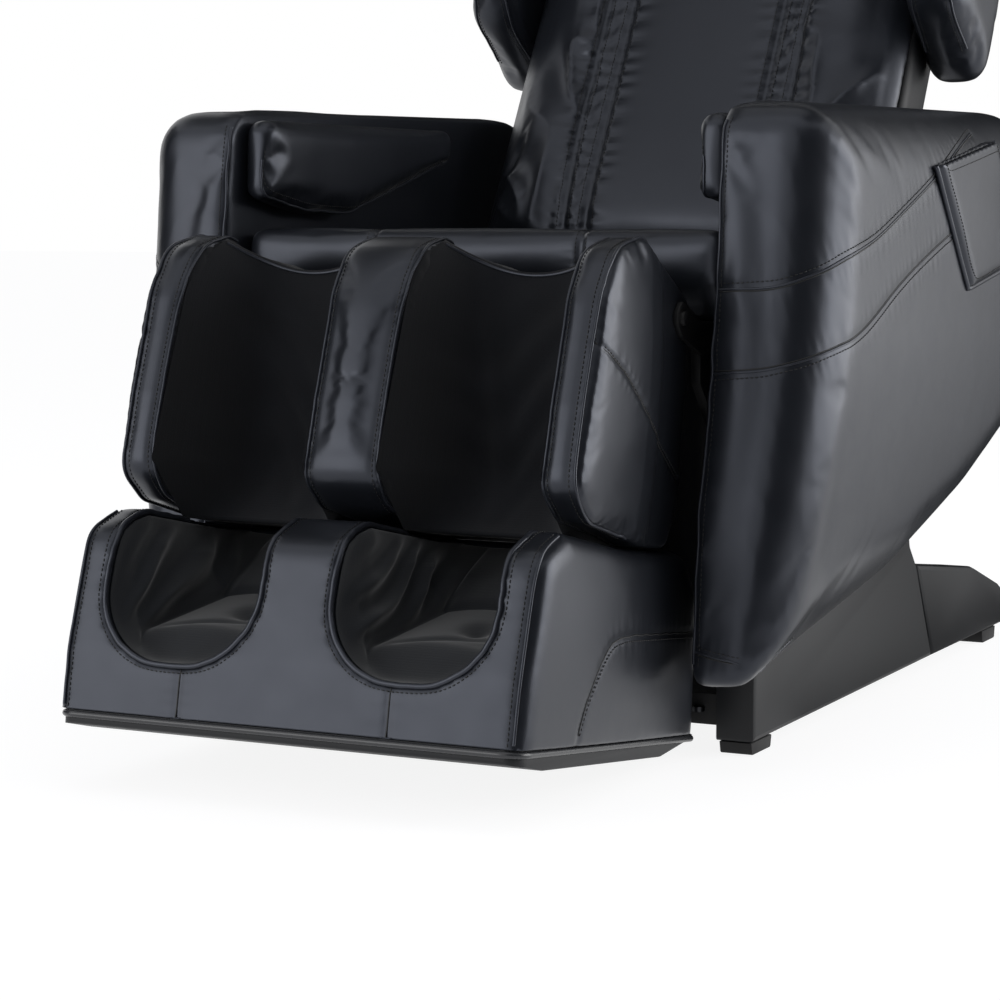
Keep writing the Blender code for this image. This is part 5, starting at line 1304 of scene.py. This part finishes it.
# Foot rest: upholstered box with two U-shaped wells. The leather front is piped round both wells,
# and a curved double seam marks off the side panels.
SOLE = 0.408
FOOT_WELL_X = 0.1233
FOOT_WELL_HALF = 0.0853
FOOT_WELL_FLOOR = 0.359
FOOT_WELL_ROUND = 0.0723
HEEL = 0.020
foot_outline = rounded(
    [
        (SOLE + 0.014, 0.296, 0.003),
        (SOLE - 0.060, 0.291, 0.060),
        (0.236, 0.268, 0.034),
        (0.2140, 0.218, 0.024),
        (0.2265, 0.075, 0.050),
        (0.2265, -0.061, 0.012),
        (0.262, -0.0955, 0.020),
        (SOLE + 0.014, -0.1120, 0.003),
    ]
)


def u_line(middle, half, floor, top, radius, steps=12):
    """Upright U in (x, down), open at the top."""
    turns = [math.radians(90 * k / steps) for k in range(steps + 1)]
    line = [(middle - half + radius * (1 - math.cos(t)), floor - radius * (1 - math.sin(t))) for t in turns]
    line = [(middle - half, top)] + line
    return line + [(2 * middle - x, down) for x, down in line[::-1]]


def prism_across(name, line, near, far):
    """Straight solid of an (x, down) outline, between two distances out."""
    shape = bmesh.new()
    rings = [[shape.verts.new(on_leg(x, down, out)) for x, down in line] for out in (near, far)]
    for i in range(len(line)):
        shape.faces.new((rings[0][i - 1], rings[0][i], rings[1][i], rings[1][i - 1]))
    shape.faces.new(rings[0])
    shape.faces.new(rings[1][::-1])
    return closed_object(name, shape)


foot_body = loft("foot_rest_cover", foot_outline, soft_edges(-LEG_HALF - 0.003, LEG_HALF + 0.003, 0.017), on_leg)
for side in (1, -1):
    middle = side * FOOT_WELL_X
    well_line = u_line(middle, FOOT_WELL_HALF, FOOT_WELL_FLOOR, 0.150, FOOT_WELL_ROUND)
    carve(foot_body, prism_across("well_space", well_line, HEEL, 0.450))
    pit = [(middle - 0.058, 0.329), (middle - 0.058, 0.396), (middle + 0.058, 0.396), (middle + 0.058, 0.329)]
    carve(foot_body, prism_across("roller_space", pit, 0.152, 0.188))
soften(foot_body, 0.0058, 3)
refine(foot_body)
spots = spots_of(foot_body)
below = np.maximum((spots - LEG_HINGE) @ LEG_DOWN - (SOLE - 0.0002), 0)
move_to(foot_body, spots - below[:, None] * LEG_DOWN)
for side in (1, -1):
    crown_side(foot_body, side, 0.0090, (0.325, 0.110), (0.085, 0.205))
foot_stitches, foot_welts, foot_lips = [], [], []


def foot_face(down):
    """How far out the leather front of the foot rest stands at a height."""
    heights = [0.2165, 0.222, 0.232, 0.245, 0.262, 0.300, 0.348, 0.380, SOLE]
    return float(np.interp(down, heights, [0.226, 0.240, 0.256, 0.266, 0.272, 0.280, 0.289, 0.293, 0.295]))


over_rim = [(0.2225, 0.140), (0.2185, 0.190), (0.2170, 0.222), (0.226, 0.247), (0.240, 0.262)]
outer_downs = (0.2165, 0.222, 0.236, 0.262, 0.312, 0.36, 0.404)
panel_line = [(-0.288, 0.061), (-0.278, 0.087), (-0.264, 0.108), (-0.231, 0.140)]
panel_line += [(-0.1975, 0.149), (-0.106, 0.140), (-0.014, 0.129)]
seams = []
for side in (1, -1):
    middle = side * FOOT_WELL_X
    for grow, kept in ((-0.0005, foot_lips), (0.0068, foot_stitches)):
        mouth = u_line(middle, FOOT_WELL_HALF + grow, FOOT_WELL_FLOOR + grow, 0.262, FOOT_WELL_ROUND + grow, 6)
        near, far = mouth[0][0], mouth[-1][0]
        rim = [on_leg(near, down, out) for down, out in over_rim]
        rim += [on_leg(x, down, foot_face(down)) for x, down in mouth]
        rim += [on_leg(far, down, out) for down, out in over_rim[::-1]]
        kept += laid_on(foot_body, [thread(rim)], 0.0017 if kept is foot_lips else 0.0004)
    upright = thread([on_leg(middle - 0.012 * side, down, foot_face(down)) for down in (0.362, 0.375, 0.390, 0.406)])
    seams.append(upright)
    outer = thread([on_leg(side * (LEG_HALF - 0.006), down, foot_face(down) - 0.001) for down in outer_downs])
    foot_welts += laid_on(foot_body, [outer], 0.0010)
    foot_stitches += laid_on(foot_body, [outer - (side * 0.006, 0, 0)], 0.0004)
    side_seam = thread([in_chair(side * LEG_HALF, y, z) for y, z in panel_line])
    seams.append(side_seam)
    foot_stitches += laid_on(foot_body, [side_seam - (0, 0, 0.005)], STITCH_LIFT)
sew(foot_body, laid_on(foot_body, seams, 0), depth=0.0012, width=0.0045)
foot_seams = laid_on(foot_body, seams, 0)
upholster(foot_body, "foot_rest", "foot_rest_body")

# Foot liners: slack tricot over thin foam that lines each well. A padded sole rises over the rollers
# to the heel, and the cloth hangs round it in slanting folds. It is a paler copy of the calf knit, a painted sheen.
tricot = knit_cloth("dark_grey_tricot_painted_sheen", "#121418", "#1b1e23", 0.28)
SOLE_RISE = 0.062
HEEL_V = 0.62
CREASE_U = 0.35
liner_us = [*np.linspace(0, 0.35, 37), *np.linspace(0.35, 0.65, 33)[1:], *np.linspace(0.65, 1, 37)[1:]]
liner_vs = [*np.linspace(0, HEEL_V, 61), *np.linspace(HEEL_V, 1, 37)[1:]]


def foot_top(out):
    """How far down the leather top of the foot rest lies at a distance out."""
    return float(np.interp(out, [0.075, 0.218, 0.240, 0.256, 0.262], [0.2265, 0.2165, 0.2225, 0.2320, 0.2400]))


def along_line(line, u):
    """Point at a share of the length of a line."""
    line = np.array(line)
    run = np.concatenate([[0], np.cumsum(np.linalg.norm(np.diff(line, axis=0), axis=1))])
    return np.array([np.interp(u * run[-1], run, line[:, k]) for k in (0, 1)])


def ramp(value):
    """Smooth step from 0 to 1."""
    value = min(1.0, max(0.0, value))
    return value * value * (3 - 2 * value)


def slack(x, depth, height, seed):
    """Height of the slack folds, in ridges that climb to the back and to one side."""
    drift = noise.noise(Vector((8 * depth + 4 * x, 9 * height, seed)))
    phase = (height - 0.85 * depth - 0.70 * x) / 0.052 + 0.9 * drift + 0.3 * seed
    ridge = (0.5 + 0.5 * math.cos(2 * math.pi * phase)) ** 1.8
    return ridge * (0.75 + 0.45 * noise.noise(Vector((9 * depth, 9 * height, seed + 5.0))))


def lining(u, v, side):
    """Inner face of a liner: round at the mouth, then a padded sole between slack walls and a slack back."""
    top = foot_top(0.256 + (0.0230 - 0.256) * v) + 0.0040
    rise = 0.018 * ramp(v / 0.16) + (SOLE_RISE - 0.018) * min(1.0, v / HEEL_V)
    back = max(0.0, (v - HEEL_V) / (1 - HEEL_V))
    heel = FOOT_WELL_FLOOR - 0.0015 - SOLE_RISE
    sole = FOOT_WELL_FLOOR - 0.0015 - rise
    sole += (top - sole) * back**0.85
    arc = FOOT_WELL_ROUND**2 - max(0.0, FOOT_WELL_ROUND - rise) ** 2
    room = FOOT_WELL_HALF - FOOT_WELL_ROUND + math.sqrt(max(0.0, arc))
    half = min(0.068 - 0.018 * min(1.0, v / HEEL_V), room - 0.003)
    wide = FOOT_WELL_HALF - 0.004
    hand = -1 if u < 0.5 else 1
    share = min(u, 1 - u)
    rim = u_line(0, FOOT_WELL_HALF - 0.0012, FOOT_WELL_FLOOR - 0.0012, top, FOOT_WELL_ROUND - 0.0012, 14)
    mouth = along_line(rim, u)
    pinch = math.exp(-(((share - CREASE_U) / 0.014) ** 2)) * ramp((v - 0.10) / 0.10) * (1 - back) ** 3
    if share < CREASE_U:
        t = share / CREASE_U
        x, down = hand * (wide - (wide - half) * t**2), top + (sole - top) * t
        free = min(1.0, (sole - down) / 0.022)
    else:
        t = (u - CREASE_U) / (1 - 2 * CREASE_U)
        x, down = half * (2 * t - 1), sole - 0.006 * math.sin(math.pi * t) * (1 - back)
        pinch = max(pinch, math.exp(-(((v - HEEL_V) / 0.016) ** 2)))
        free = min(1.0, back / 0.22)
        hollow = math.exp(-(((t - 0.66) / 0.11) ** 2) - ((v - 0.36) / 0.06) ** 2)
        tuck = math.exp(-(((v - 0.16 - 0.13 * t) / 0.018) ** 2)) * math.sin(math.pi * t)
        down += 0.009 * hollow + 0.0035 * tuck
    box = ramp(v / 0.18)
    x, down = (1 - box) * mouth[0] + box * x, (1 - box) * mouth[1] + box * down
    free *= min(1.0, max(0.0, (down - top) / 0.030)) * ramp((v - 0.03) / 0.16)
    fold = 0.017 * free * slack(x, 0.25 * v, heel - down, 2.3 + side)
    front = foot_face(max(down, 0.236)) - 0.007
    out = front + (0.0230 - front) * v
    x += -hand * fold * (1 - back) * (share < CREASE_U) + 0.003 * hand * pinch * (share < CREASE_U)
    return on_leg(side * FOOT_WELL_X + x, down + 0.0035 * pinch - 0.4 * fold * (1 - back), out + 0.9 * fold * back)


def backing(u, v, side):
    """Outer face of a liner, against the leather box."""
    top = foot_top(0.256 + (0.0210 - 0.256) * v) + 0.0035
    rim = u_line(0, FOOT_WELL_HALF - 0.0008, FOOT_WELL_FLOOR - 0.0008, top, FOOT_WELL_ROUND - 0.0008, 14)
    x, down = along_line(rim, u)
    front = foot_face(max(down, 0.236)) - 0.0065
    return on_leg(side * FOOT_WELL_X + x, down, front + (0.0210 - front) * v)


# Each liner gets the paler copy of the knit, its painted sheen.
for name, side in SIDES:
    faces = [lambda u, v, face=face: face(u, v, side) for face in (lining, backing)]
    liner = sheet_solid("foot_liner_cover_" + name, liner_us, liner_vs, *faces)
    ease = liner.modifiers.new("ease", "SMOOTH")
    ease.factor = 0.5
    ease.iterations = 1
    settle(liner)
    refine(liner)
    upholster(liner, "foot_rest", "foot_liner_" + name, tricot)
trim("foot_rest_stitching", "foot_rest", stitch_tree, foot_stitches, polyester)
trim("foot_rest_seam_lines", "foot_rest", welt_tree, foot_seams, polyester, Thick=0.0016)
trim("foot_rest_piping", "foot_rest", welt_tree, foot_welts, leather)
trim("foot_well_lips", "foot_rest", welt_tree, foot_lips, leather, Thick=0.0056)

# Foot tray: the moulded sole of the foot rest. A polished half-round lip runs along its front and sides,
# right under the leather. Its black is painted paler than the tray, a painted highlight that shows as one bright line.
dress(moulded_abs, "foot_rest_tray", edge=0.0008)
WEAR_MM = 16.67
# Painted highlight: the lip's black is paler than the tray's moulding.
lip_abs_painted_highlight = patterned("polished_black_abs_lip_painted_highlight", ["#2c2d30"], [0.22, 0.32], (WEAR_MM, 4.0))
TRAY_HALF = 0.2435
TRAY_NOSE = 0.2948
TRAY_ROUND = 0.020
LIP_DOWN = 0.4125
corner = [math.radians(15 * k) for k in range(7)]
lip = [(TRAY_HALF, out) for out in np.linspace(-0.105, 0.270, 40)]
lip += [(TRAY_HALF - TRAY_ROUND * (1 - math.cos(a)), TRAY_NOSE - TRAY_ROUND * (1 - math.sin(a))) for a in corner]
lip += [(x, TRAY_NOSE) for x in np.linspace(0.220, 0, 24)]
lip += [(-x, out) for x, out in lip[-2::-1]]
lip_line = thread([on_leg(x, LIP_DOWN, out) for x, out in lip])
trim("foot_tray_lip", "foot_rest", welt_tree, [lip_line], lip_abs_painted_highlight, "moulded_plastic", Thick=0.0070)

low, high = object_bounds()
